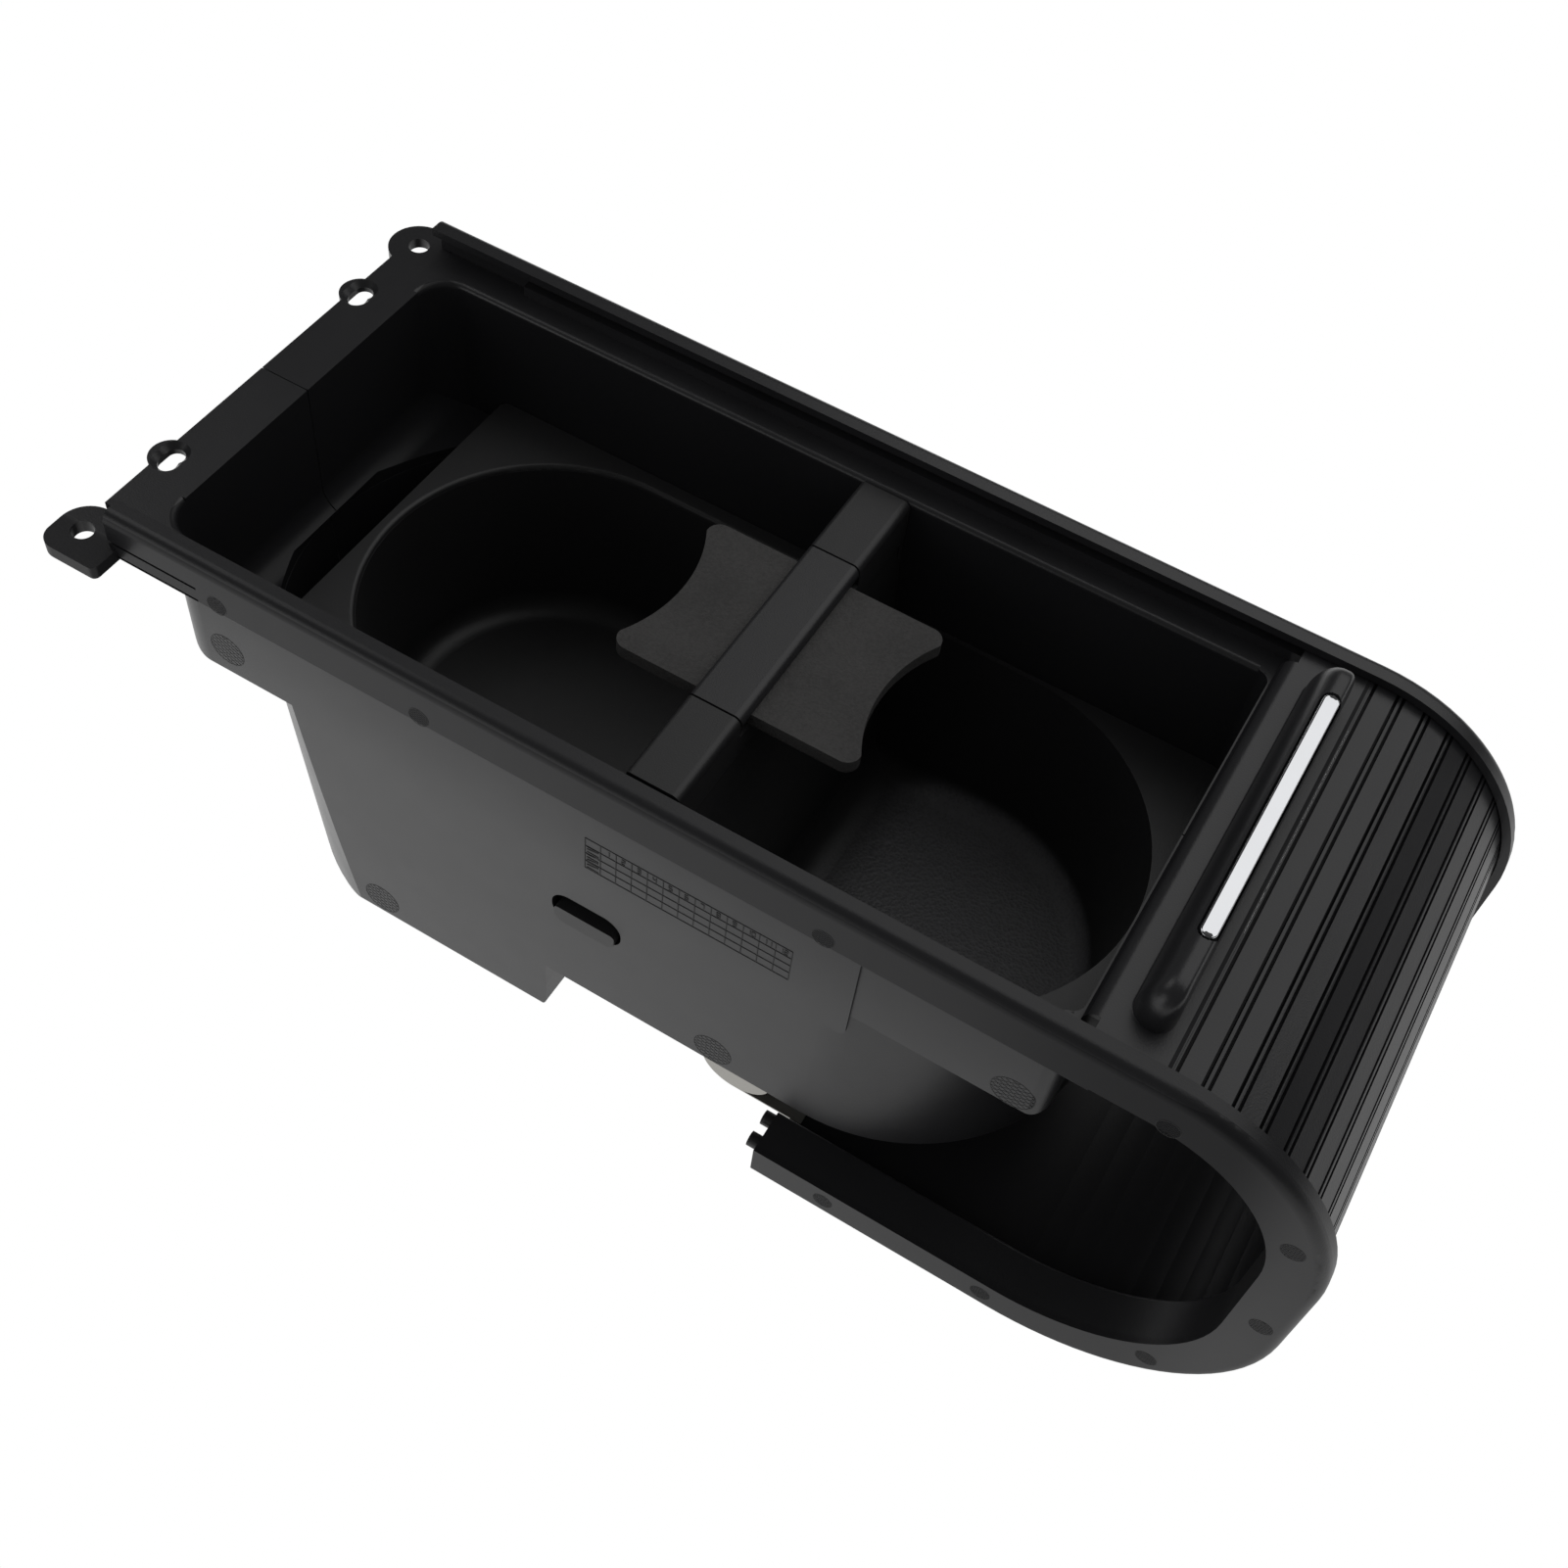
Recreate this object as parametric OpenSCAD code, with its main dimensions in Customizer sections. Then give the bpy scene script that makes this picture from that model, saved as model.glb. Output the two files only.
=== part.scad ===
// Car console cup holder with a sliding slatted blind.
// Every module is drawn from the left end of the two rails: X runs along them to the bend of the
// blind, Y runs across from the near rail to the far one, and Z is 0 at the top of the rails.
// in_frame() then moves it to the mounting frame, midway between the two screw slots of the flange.

/* [Rails and track] */
// Width over the outsides of the two rails
rail_span = 120; // [112:1:130]
// Length of the straight top rail, from its left end to the upper bend
rail_run = 245; // [240:1:260]
// Radius of the outside of the upper bend
bend_top_r = 44; // [40:1:48]
// Radius of the outside of the lower bend
bend_low_r = 56; // [50:1:60]
// Height of the track loop, from the rail top to the underside of the lower arm
loop_h = 126; // [122:1:134]
// Length of the straight lower arm
arm_len = 64; // [50:1:70]
// Height of the track band, seen from the side
band_t = 12; // [11:0.5:14]
// Width of the track web in the loop
web_w = 12; // [10:0.5:14]
// Thickness of the lip that holds the slats down
lip_t = 2; // [1.6:0.1:2.4]
// How far the lip reaches over the slats
lip_w = 5.2; // [4.6:0.1:6]
// Height of the slat groove
groove_t = 3.2; // [2.8:0.1:3.6]
// Wall behind the slat groove
groove_wall = 2; // [1.6:0.1:2.6]
// Radius along the outer top edge of the rails
rail_round_r = 2.6; // [2:0.2:4.6]
// Height of the outer skirt of the top rails
skirt_h = 13; // [11.5:0.5:15]

/* [Flange] */
// Drop from the rail top to the flange and the tray ledge
flange_drop = 8; // [7.6:0.2:9]
// Thickness of the flange
flange_t = 2.6; // [2:0.1:3.4]
// How far the flange reaches left of the rail ends
flange_reach = 8; // [6:0.5:10]
// Distance from the rail ends back to the centres of the screw slots
slot_back = 6; // [5:0.5:7]
// Distance between the centres of the two screw slots
slot_pitch = 67; // [60:1:74]
// Width of a screw slot
slot_w = 4.4; // [3.6:0.1:5]
// Length of a screw slot
slot_len = 7.2; // [6:0.1:8.4]
// Width of the countersink across a slot
countersink_w = 7; // [6:0.1:7.4]
// Radius of the half-round tab round a slot
tab_r = 5; // [4.6:0.1:6]
// Diameter of the screw holes in the two ears
ear_hole_d = 5.2; // [4:0.1:5.4]
// Radius of the far ear
ear_r = 7.5; // [6.5:0.1:8.5]
// Thickness of the near ear, which stands lower than the flange
near_ear_t = 3.2; // [2.6:0.1:4]
// How far the near ear stands below the flange
near_ear_drop = 2; // [1.6:0.1:2.4]

/* [Tray] */
// Left edge of the tray opening, from the rail ends
tray_x = 5; // [4.5:0.5:8]
// Half width of the inside of the tray
tray_half_w = 49.4; // [48:0.1:50]
// Radius of the upright corners of the tray
tray_corner_r = 8; // [5:0.5:10]
// Depth of the tray corners below the rail top
tray_depth = 46.5; // [44:0.5:50]
// Rounding of the upper edge of the tray opening
edge_r = 1.4; // [0.6:0.1:1.8]
// Thickness of the tray and housing walls
wall = 1.8; // [1.4:0.1:2.4]
// Thickness of the housing floors
floor_t = 2; // [1.6:0.1:2.6]
// Outside of the right end wall, from the rail ends
end_x = 226.6; // [224:0.2:228]
// Gap between the two halves at the middle seam
seam_gap = 0.3; // [0.2:0.1:0.6]

/* [Housing below the tray] */
// Centre of the round left end of the housing
left_shell_x = 62; // [60:0.5:64]
// Radius of its inside at the top
left_shell_r = 56; // [54:0.5:56.5]
// How much smaller that radius is at the bottom
left_shell_taper = 4.5; // [0:0.5:6]
// How much deeper the left housing is than the middle housing
left_step = 21.5; // [10:0.5:22.5]
// Right end of the left housing, where the bottom steps up
step_x = 104; // [100:1:112]
// Room between the middle housing and the outside of the lower arm, for the coil and the blind
arm_room = 24.5; // [23.6:0.1:26]
// Radius of the rounded lower edges
low_edge_r = 5; // [3:0.5:8]

/* [Cup wells] */
// Centre of the left cup well
left_well_x = 71; // [70:0.5:73]
// Radius of the left cup well at its rim
left_well_r = 44.6; // [42:0.1:45.4]
// Depth of the left rim and ledge below the rail top
left_ledge_z = 38.8; // [36:0.2:41]
// Height of the left well floor over the underside of the middle housing
left_floor_up = 14.5; // [10:0.5:20]
// Left edge of the cup insert
insert_x = 23.5; // [22.5:0.5:24.5]
// Centre of the right cup well
right_well_x = 175.4; // [174:0.2:175.6]
// Radius of the right cup well at its rim
right_well_r = 47.8; // [46:0.1:47.8]
// Depth of the right rim and its corner ledges below the rail top
right_ledge_z = 43; // [40:0.2:45]
// Height of the right well floor over the underside of the middle housing
right_floor_up = 6.5; // [5.5:0.5:9]
// Draft of the well walls, in degrees
well_draft = 4; // [1:0.5:5]
// Radius between a well wall and its floor
well_fillet = 6; // [3:0.5:8]
// Radius of the rounded rim of the wells
rim_round_r = 1.2; // [0.8:0.1:1.2]
// Radius between the divider under the bridge and the left well floor
divider_left_r = 7.5; // [4:0.5:9]
// Radius between the divider under the bridge and the right well floor
divider_right_r = 9.5; // [5:0.5:12]
// Wall of the cup insert
insert_wall = 1.3; // [1.1:0.1:1.4]
// Gap between the cup insert and the tray
insert_gap = 0.3; // [0.2:0.05:0.5]

/* [Bridge and pad] */
// Centre of the bridge between the two cups
bridge_x = 129.9; // [127:0.1:133]
// Width of the bridge
bridge_w = 12.8; // [11:0.1:15]
// Height of the bridge beam
bridge_h = 13; // [11:0.5:16]
// Half length of the removable middle cap
cap_half_len = 25; // [23:0.5:28]
// Gap between the middle cap and the two fixed stubs
cap_gap = 0.5; // [0.3:0.1:1]
// Thickness of the top of the cap over the pad
cap_t = 2.4; // [2:0.1:3]
// Length of the foam pad, along the rails
pad_len = 59; // [54:1:62]
// Width of the foam pad, across the rails
pad_w = 42.5; // [40:0.5:46]
// Thickness of the foam pad
pad_t = 3.4; // [2.6:0.1:4]
// Radius of the concave ends of the pad
pad_end_r = 36; // [32:1:45]
// Centre of the foam pad, from the rail ends
pad_x = 131; // [128:0.5:134]
// How deep the concave ends cut in
pad_end_cut = 4.6; // [3:0.2:6]
// Radius of the corners of the pad
pad_corner_r = 3.2; // [2:0.2:4]

/* [Lid] */
// Leading edge of the lid leaf, from the rail ends, with the blind open
lid_x = 225.3; // [224:0.5:228]
// Length of the lid leaf, along the rails
lid_len = 19; // [17:0.5:21]
// Thickness of the leaf and of the slats where they run in the groove
slat_t = 2.6; // [2.2:0.1:2.8]
// Clearance of the leaf and the slats in the groove, at their ends
slat_end_gap = 0.6; // [0.4:0.1:1]
// Height of the rounded front edge of the leaf
nose_h = 5.2; // [4.2:0.1:5.4]
// Height of the grip bar above the leaf
grip_h = 11; // [7:0.5:13]
// Width of the grip bar
grip_w = 8.6; // [7:0.2:10]
// How much wider each side of the grip bar is at its foot
grip_slope = 0.7; // [0.2:0.1:1.2]
// Radius of the rounded top edge of the grip bar
grip_crown_r = 2; // [1:0.1:2.1]
// Length of the grip bar
grip_len = 99; // [90:1:102]
// Length of the bright strip
strip_len = 69; // [60:1:76]
// Width of the bright strip
strip_w = 4.4; // [3.6:0.2:5]
// Centre of the grip bar, from the rail ends
grip_x = 236.8; // [235:0.1:238.5]
// Radius of the hollow blend in front of the grip bar
grip_blend_r = 2.6; // [1.5:0.1:3]
// Travel of the lid, from open to closed
lid_travel = 219; // [200:1:220]

/* [Blind] */
// Pitch of the slats along the track
slat_pitch = 6.9; // [6:0.1:8]
// Width of one hinge groove between two slats
slit_w = 0.7; // [0.5:0.1:0.9]
// Depth of the hinge grooves
slit_d = 1.1; // [0.8:0.1:1.4]
// Length of the last stretch of the blind on the lower arm that is left bare
tail_back = 2; // [1:0.5:6]

/* [Blind spring] */
// Outer radius of the coiled strip spring
coil_r = 9.6; // [8:0.1:9.6]
// Width of the coiled strip spring
coil_w = 12; // [9:0.5:14]
// Centre of the coil, from the rail ends
coil_x = 155; // [154:0.5:157]
// Near end of the coil, from the middle seam
coil_y0 = -45; // [-47:0.5:-42]
// Radius of the spring pin
pin_r = 3; // [2:0.1:4]
// Thickness of the spring strip
strip_t = 0.4; // [0.3:0.05:0.5]

/* [Hidden] */
$fn = 96;
eps = 0.01;
big = 400;

half_span = rail_span / 2;
mid_depth = loop_h - arm_room;
left_depth = mid_depth + left_step;
left_floor_z = mid_depth - left_floor_up;
right_floor_z = mid_depth - right_floor_up;
lip_y = half_span - lip_w;
groove_y = half_span - groove_wall;
web_y = half_span - web_w;
groove_low = lip_t + groove_t;
bend_right_x = rail_run + bend_top_r;
low_bend_x = bend_right_x - bend_low_r;
arm_left_x = low_bend_x - arm_len;
tray_out_y = tray_half_w + wall;
tray_out_x = tray_x - wall - 0.7;
tray_low_r = 7;
latch_len = 26;
latch_slit = 0.7;
latch_top = 8.2;
latch_low = 12;
latch_run = 23.5;
insert_half_w = tray_half_w - insert_gap;
insert_end = end_x - wall - insert_gap;
slat_depth = lip_t + (groove_t - slat_t) / 2;
slat_half_w = groove_y - slat_end_gap;
web_start = lid_x + nose_h + 2;
lid_end = lid_x + lid_len;
leaf_half_w = lip_y - 1.2;
strip_x = grip_x + 0.2;
coil_z = slat_depth + slat_t + coil_r - loop_h;
post_shoulder = 2.6;
screw_d = 3;
boss_h = 4;
screw_bite = 6;
// Each spot is X, the housing depth there, the depth of the top of its post and the length in the insert.
screw_spots = [[left_well_x, left_depth, left_floor_z + insert_wall + boss_h, boss_h],
               [bridge_x + 6, mid_depth, right_floor_z + insert_wall, screw_bite]];
post_r = 4;
post_y = 18;
divider_hollow_w = 39;
divider_post_h = 36;

// Moves a module from the rail ends to the mounting frame.
module in_frame() translate([slot_back, 0, flange_drop]) children();

// The far side is the near side mirrored across the middle.
module far_side() mirror([0, 1, 0]) children();

// Takes a round off a corner: at is the corner, way points out of the solid along both axes.
module corner_off(at, way, r) {
    c = [at.x - way.x * r, at.y - way.y * r];
    difference() {
        translate([min(at.x, c.x) - (way.x < 0 ? eps : 0), min(at.y, c.y) - (way.y < 0 ? eps : 0)])
            square(r + eps);
        translate(c) circle(r = r);
    }
}

// Rectangle with four corner radii, named as [left low, right low, right high, left high].
module round_rect(low, high, r) {
    difference() {
        translate(low) square([high.x - low.x, high.y - low.y]);
        if (r[0] > 0) corner_off(low, [-1, -1], r[0]);
        if (r[1] > 0) corner_off([high.x, low.y], [1, -1], r[1]);
        if (r[2] > 0) corner_off(high, [1, 1], r[2]);
        if (r[3] > 0) corner_off([low.x, high.y], [-1, 1], r[3]);
    }
}

// Extrudes a side view, drawn as X and Z, across the part from one Y to another.
module across(y0, y1) translate([0, y1, 0]) rotate([90, 0, 0]) linear_extrude(y1 - y0) children();

// Carries a section round the track, from x0 on the top rail to the end of the lower arm.
// The section is drawn with its outer surface on X = 0, its depth along -X and its place
// across the part along Y, and comes out on the near side.
module along_top(x0, x1)
    translate([x0, 0, 0]) rotate([180, -90, 0]) linear_extrude(x1 - x0) children();

module along_bends(arm_to) {
    translate([rail_run, 0, -bend_top_r]) rotate([90, 0, 0])
        rotate_extrude(angle = 90) translate([bend_top_r, 0]) children();
    translate([bend_right_x, 0, -bend_top_r]) rotate([180, 0, 0])
        linear_extrude(loop_h - bend_top_r - bend_low_r) children();
    translate([low_bend_x, 0, bend_low_r - loop_h]) rotate([90, 0, 0]) rotate([0, 0, -90])
        rotate_extrude(angle = 90) translate([bend_low_r, 0]) children();
    translate([low_bend_x, 0, -loop_h]) rotate([180, 90, 0]) linear_extrude(low_bend_x - arm_to) children();
}

// Sections of the rail: the lip, the wall behind the groove and what carries the slats.
module lip_section() {
    difference() {
        translate([-groove_low, lip_y]) square([groove_low, lip_w]);
        translate([-groove_low - eps, lip_y - eps]) square([groove_t + eps, groove_y - lip_y + eps]);
        corner_off([0, half_span], [1, 1], rail_round_r);
    }
}

module loop_section() {
    lip_section();
    round_rect([-band_t, web_y], [-groove_low, half_span], [0.8, 1.6, 0, 0]);
}

module rail_section(with_lower_lip) {
    lip_section();
    translate([-flange_drop - eps, groove_y]) square([flange_drop - groove_low + 2 * eps, groove_wall]);
    if (with_lower_lip)
        translate([-flange_drop - eps, lip_y + 0.8]) square([flange_drop - groove_low + eps, lip_w - 0.8]);
    round_rect([-skirt_h, groove_y], [-flange_drop, half_span], [0.6, 0, 0, 0.8]);
}

// Plan of the tray, to one side of the middle seam.
module tray_plan(x0, x1, half_w, r)
    intersection() {
        round_rect([x0, -half_w], [x1, half_w], [r, r / 2, r / 2, r]);
        translate([-big, -big]) square([2 * big, big - seam_gap / 2]);
    }

module near_only() intersection() {
    children();
    translate([-big, -big, -big]) cube([2 * big, big - seam_gap / 2, 2 * big]);
}

// The left housing: a tapered half cylinder, cut flat along the tray walls and run on to the step.
module left_shell(inset) {
    depth = left_depth - inset;
    r_top = left_shell_r + wall - inset;
    intersection() {
        union() {
            translate([left_shell_x, 0, -depth])
                cylinder(r1 = r_top - left_shell_taper, r2 = r_top, h = depth - tray_depth);
            translate([left_shell_x, -big, -depth]) cube([big, 2 * big, depth - tray_depth]);
        }
        across(-tray_out_y + inset, tray_out_y - inset)
            round_rect([-20, -depth], [step_x - inset, -tray_depth + 1], [0, low_edge_r, 0, 0]);
        rotate([90, 0, 90]) linear_extrude(big)
            round_rect([-tray_out_y + inset, -depth], [tray_out_y - inset, 0],
                       [low_edge_r / 2, low_edge_r / 2, 0, 0]);
    }
}

// The shallower middle and right housing, with its round right end.
module right_shell(inset) {
    depth = mid_depth - inset;
    r = tray_out_y - inset;
    translate([left_shell_x, -r, -depth]) cube([end_x - tray_out_y - left_shell_x, 2 * r, depth - tray_depth + 1]);
    translate([end_x - tray_out_y, 0, -depth]) cylinder(r = r, h = depth - tray_depth + 1);
}

module housing_outer() {
    intersection() {
        translate([0, 0, -big]) linear_extrude(big - flange_drop - flange_t / 2)
            round_rect([tray_out_x, -tray_out_y], [end_x, tray_out_y], [10, 4, 4, 10]);
        across(-big, big) round_rect([tray_out_x, -tray_depth - floor_t], [end_x, 0], [tray_low_r + floor_t, 4, 0, 0]);
    }
    left_shell(0);
    right_shell(0);
}

module housing_inner() {
    intersection() {
        translate([0, 0, -tray_depth]) linear_extrude(tray_depth)
            round_rect([tray_x, -tray_half_w], [end_x - wall, tray_half_w], [tray_corner_r, 3, 3, tray_corner_r]);
        across(-big, big) round_rect([tray_x, -tray_depth], [end_x - wall, 1], [tray_low_r, 2, 0, 0]);
    }
    left_shell(wall);
    right_shell(wall);
    intersection() {
        translate([left_shell_x, 0, -tray_depth - floor_t - 1]) cylinder(r = left_shell_r, h = floor_t + 2);
        translate([0, -tray_half_w, -big]) cube([big, 2 * tray_half_w, big]);
    }
}

// Cross ribs on the housing floors that carry the two well floors.
module cradle_ribs() {
    for (x = [left_well_x - 14, left_well_x + 14])
        translate([x - wall / 2, -left_well_r * 0.6, -left_depth + floor_t / 2])
            cube([wall, left_well_r * 0.6, left_depth - floor_t / 2 - left_floor_z - insert_wall]);
    for (x = [right_well_x - 14, right_well_x + 14])
        translate([x - wall / 2, -right_well_r * 0.6, -mid_depth + floor_t / 2])
            cube([wall, right_well_r * 0.6, mid_depth - floor_t / 2 - right_floor_z - insert_wall]);
}

// Screw posts of the housing floor, two to each half.
module screw_posts() {
    for (p = screw_spots)
        translate([p.x, -post_y, -p.y]) cylinder(r = post_r, h = p.y - p[2]);
}

module post_bores() {
    for (p = screw_spots) {
        shoulder = p[2] + post_shoulder;
        translate([p.x, -post_y, -shoulder - 1]) cylinder(d = screw_d + 0.4, h = post_shoulder + 2);
        translate([p.x, -post_y, -p.y - 1]) cylinder(d = screw_head_d + 0.6, h = p.y + 1 - shoulder);
    }
}

// Half-round tab with its countersunk slot, centred on the slot.
module slot_cut() {
    straight = (slot_len - slot_w) / 2;
    for (y = [-straight, straight]) {
        translate([0, y, -flange_t - 1]) cylinder(d = slot_w, h = flange_t + 2);
        translate([0, y, -(countersink_w - slot_w) / 2]) cylinder(d1 = slot_w, d2 = countersink_w + 0.02, h = (countersink_w - slot_w) / 2 + eps);
    }
    translate([-slot_w / 2, -straight, -flange_t - 1]) cube([slot_w, 2 * straight, flange_t + 2]);
}

module near_flange_outline() {
    difference() {
        union() {
            translate([-flange_reach, -half_span]) square([flange_reach + end_x, half_span - seam_gap / 2]);
            translate([-slot_back, -slot_pitch / 2]) circle(r = tab_r);
        }
        translate([-flange_reach - eps, -half_span - eps]) square([flange_reach + eps, 8]);
        round_rect([tray_x, -tray_half_w], [end_x - wall, tray_half_w], [tray_corner_r, 3, 3, tray_corner_r]);
    }
}

// One side, drawn as the near one. The ear is drawn apart, because the two sides differ there.
module side_half() {
    difference() {
        union() {
            along_top(0, latch_len) rail_section(false);
            along_top(latch_len, web_start) rail_section(true);
            along_top(web_start, rail_run) loop_section();
            along_bends(arm_left_x) loop_section();
            translate([0, 0, -flange_drop - flange_t]) linear_extrude(flange_t) near_flange_outline();
            near_only() difference() {
                housing_outer();
                housing_inner();
            }
            near_only() cradle_ribs();
            screw_posts();
        }
        translate([-slot_back, -slot_pitch / 2, -flange_drop]) slot_cut();
        for (z = [latch_top, latch_low])
            translate([-eps, -half_span - 1, -z - latch_slit / 2]) cube([latch_run, groove_wall + 1.4, latch_slit]);
        clip_window();
        post_bores();
        stud_bores();
        opening_edge();
    }
}

// Takes the round off the upper edge of the tray opening.
module opening_edge() {
    r = edge_r;
    translate([tray_x + tray_corner_r, -tray_half_w, -flange_drop]) rotate([90, 0, 90])
        linear_extrude(end_x - wall - 3 - tray_x - tray_corner_r) corner_in(r);
    translate([tray_x, -tray_half_w + tray_corner_r, -flange_drop]) rotate([90, 0, 180])
        linear_extrude(tray_half_w - tray_corner_r) rotate([0, 0, 0]) corner_in(r);
    translate([tray_x + tray_corner_r, -tray_half_w + tray_corner_r, -flange_drop])
        rotate([0, 0, 180]) rotate_extrude(angle = 90) translate([tray_corner_r, 0]) mirror([1, 0]) corner_in(r);
}

// Waste of a rounded edge: the solid lies toward -X and below, the opening toward +X.
module corner_in(r) difference() {
    translate([-r, -r]) square([r + eps, r + eps]);
    translate([-r, -r]) circle(r = r);
}

// Window in the housing wall, with round ends, where the insert's snap hook rests on the lower edge.
clip_x = 106.3;
clip_len = 18.6;
clip_under = 12;
clip_low = left_floor_z - clip_under;
clip_h = 10.4;
clip_r = 4.8;
module clip_window() across(-tray_out_y - 1, -tray_half_w + 1)
    round_rect([clip_x, -clip_low], [clip_x + clip_len, clip_h - clip_low], [clip_r, clip_r, clip_r, clip_r]);

// The far ear is round and level with the flange.
far_ear_at = [-5, -55.5];
module far_ear() translate([far_ear_at.x, far_ear_at.y, -flange_drop - flange_t]) difference() {
    union() {
        cylinder(r = ear_r, h = flange_t);
        cube([0.5 - far_ear_at.x, ear_r * 0.98, flange_t]);
    }
    translate([0, 0, -1]) cylinder(d = ear_hole_d, h = flange_t + 2);
}

// The near ear is a block with rounded corners, a step below the flange.
near_ear_at = [-7.9, -59.5];
near_ear_low = [-14.3, -67];
near_ear_high = [1.6, -52];
module near_ear() translate([0, 0, -flange_drop - near_ear_drop - near_ear_t]) difference() {
    linear_extrude(near_ear_t) {
        round_rect(near_ear_low, near_ear_high, [4.2, 1.4, 0, 7]);
        translate([-7.4, near_ear_high.y - 1]) square([near_ear_high.x + 7.4, 4]);
    }
    translate([near_ear_at.x, near_ear_at.y, -1]) cylinder(d = ear_hole_d, h = near_ear_t + 2);
}

// Raised panel on the near wall that carries the date grid.
panel_x0 = 112.8;
panel_x1 = 181.6;
panel_z = 56.6;
module label_panel() across(-tray_out_y - 0.6, -tray_out_y + 0.5)
    round_rect([panel_x0, -panel_z], [panel_x1, -flange_drop - flange_t / 2], [2, 2, 0, 0]);

module side_near() color([0.05, 0.05, 0.055]) in_frame() {
    side_half();
    near_ear();
    label_panel();
    pin_ear();
}

module side_far() color([0.05, 0.05, 0.055]) in_frame() far_side() {
    difference() {
        side_half();
        translate([far_ear_at.x, far_ear_at.y, -flange_drop - flange_t - 1]) cylinder(d = ear_hole_d, h = flange_t + 2);
    }
    far_ear();
}

// Solid of revolution of a cup well, as half a section: radius along X, height along Y.
// A positive grow gives the outside of the well, and zero gives the space inside.
module well_section(rim_r, rim_z, floor_z, grow, round_rim) {
    low_r = rim_r - (floor_z - rim_z) * tan(well_draft) + grow;
    high_r = rim_r + grow;
    f = well_fillet + grow;
    low = floor_z + grow;
    cx = low_r + f * tan(well_draft) - f / cos(well_draft);
    touch = [cx + f * cos(well_draft), -low + f - f * sin(well_draft)];
    top = grow > 0 ? 0 : 0.5;
    polygon([[0, -low], [cx, -low], touch, [high_r, -rim_z], [high_r, top - rim_z], [0, top - rim_z]]);
    translate([cx, -low + f]) circle(r = f);
    if (round_rim) translate([high_r - 0.1, -rim_z - rim_round_r]) difference() {
        square([rim_round_r + 0.1, rim_round_r + 0.5]);
        translate([rim_round_r + 0.1, 0]) circle(r = rim_round_r);
    }
}

// One well: round at one end and carried straight on to the middle of the bridge.
module well(x, rim_r, rim_z, floor_z, grow, round_rim, past) {
    run = abs(bridge_x - x) + past;
    translate([x, 0, 0]) rotate_extrude() intersection() {
        well_section(rim_r, rim_z, floor_z, grow, round_rim);
        translate([0, -big]) square(2 * big);
    }
    translate([min(x, bridge_x - past), 0, 0]) rotate([90, 0, 90]) linear_extrude(run)
        for (s = [0, 1]) mirror([s, 0]) intersection() {
            well_section(rim_r, rim_z, floor_z, grow, round_rim);
            translate([0, -big]) square(2 * big);
        }
}

module left_well(grow, round_rim)
    well(left_well_x, left_well_r, left_ledge_z, left_floor_z, grow, round_rim, 0);

module right_well(grow, round_rim, past)
    well(right_well_x, right_well_r, right_ledge_z, right_floor_z, grow, round_rim, past);

// One half of the divider under the bridge, drawn to the right of the middle of the bridge: a face
// that leans out by the draft and a hollow blend into a well floor. A thickness gives the space inside.
divider_top = flange_drop + bridge_h - 1;
module divider_half(floor_z, fillet, thick, past) {
    half = bridge_w / 2 - 0.4;
    lean = (floor_z - fillet - divider_top) * sin(well_draft);
    c = [half + (fillet + lean) / cos(well_draft), fillet - floor_z];
    r = fillet + thick;
    low = -floor_z - thick - past;
    top = -divider_top - (thick > 0 ? 1 + thick : 0);
    difference() {
        polygon([[-past, low], [c.x, low], c, [c.x - r * cos(well_draft), c.y - r * sin(well_draft)],
                 [half - thick / cos(well_draft), top], [-past, top]]);
        translate(c) circle(r = r);
    }
}

module divider(half_w, thick, past) translate([bridge_x, 0, 0]) across(-half_w, half_w) {
    divider_half(right_floor_z, divider_right_r, thick, past);
    mirror([1, 0]) divider_half(left_floor_z, divider_left_r, thick, past);
}

// The divider above the ledges, where the wells end.
module divider_wall() intersection() {
    divider(insert_half_w, 0, 1);
    translate([0, -big, -right_ledge_z - insert_wall]) cube([big, 2 * big, big]);
}

// Space inside the divider, open to below, round the two posts of the right screws.
module divider_hollow() difference() {
    divider(divider_hollow_w, insert_wall, 2);
    for (s = [-1, 1]) translate([screw_spots[1].x, s * post_y, -right_floor_z - insert_wall])
        cylinder(r = post_r, h = divider_post_h);
}

module insert_plate(x0, x1, z, r) translate([0, 0, -z - insert_wall]) linear_extrude(insert_wall)
    round_rect([x0, -insert_half_w], [x1, insert_half_w], r);

module cup_insert() color([0.07, 0.07, 0.075]) in_frame() {
    difference() {
        union() {
            insert_plate(insert_x, bridge_x, left_ledge_z, [2, 0, 0, 2]);
            insert_plate(bridge_x, insert_end, right_ledge_z, [0, 3, 3, 0]);
            left_well(insert_wall, false);
            right_well(insert_wall, false, insert_wall);
            step_wall();
            bridge_frame();
            divider_wall();
            insert_bosses();
        }
        difference() {
            union() {
                left_well(0, true);
                right_well(0, false, 0);
            }
            divider(tray_half_w, 0, 1);
        }
        divider_hollow();
        boss_bores();
        cap_slots();
    }
    for (s = [0, 1]) mirror([0, s, 0]) snap_hook();
}

// Closes the step between the wider right well and the narrower left one, under the bridge.
module step_wall() for (s = [0, 1]) mirror([0, s, 0])
    across(-insert_half_w, -left_well_r) translate([bridge_x - insert_wall, -left_ledge_z - 20])
        square([insert_wall, 20]);

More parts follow.
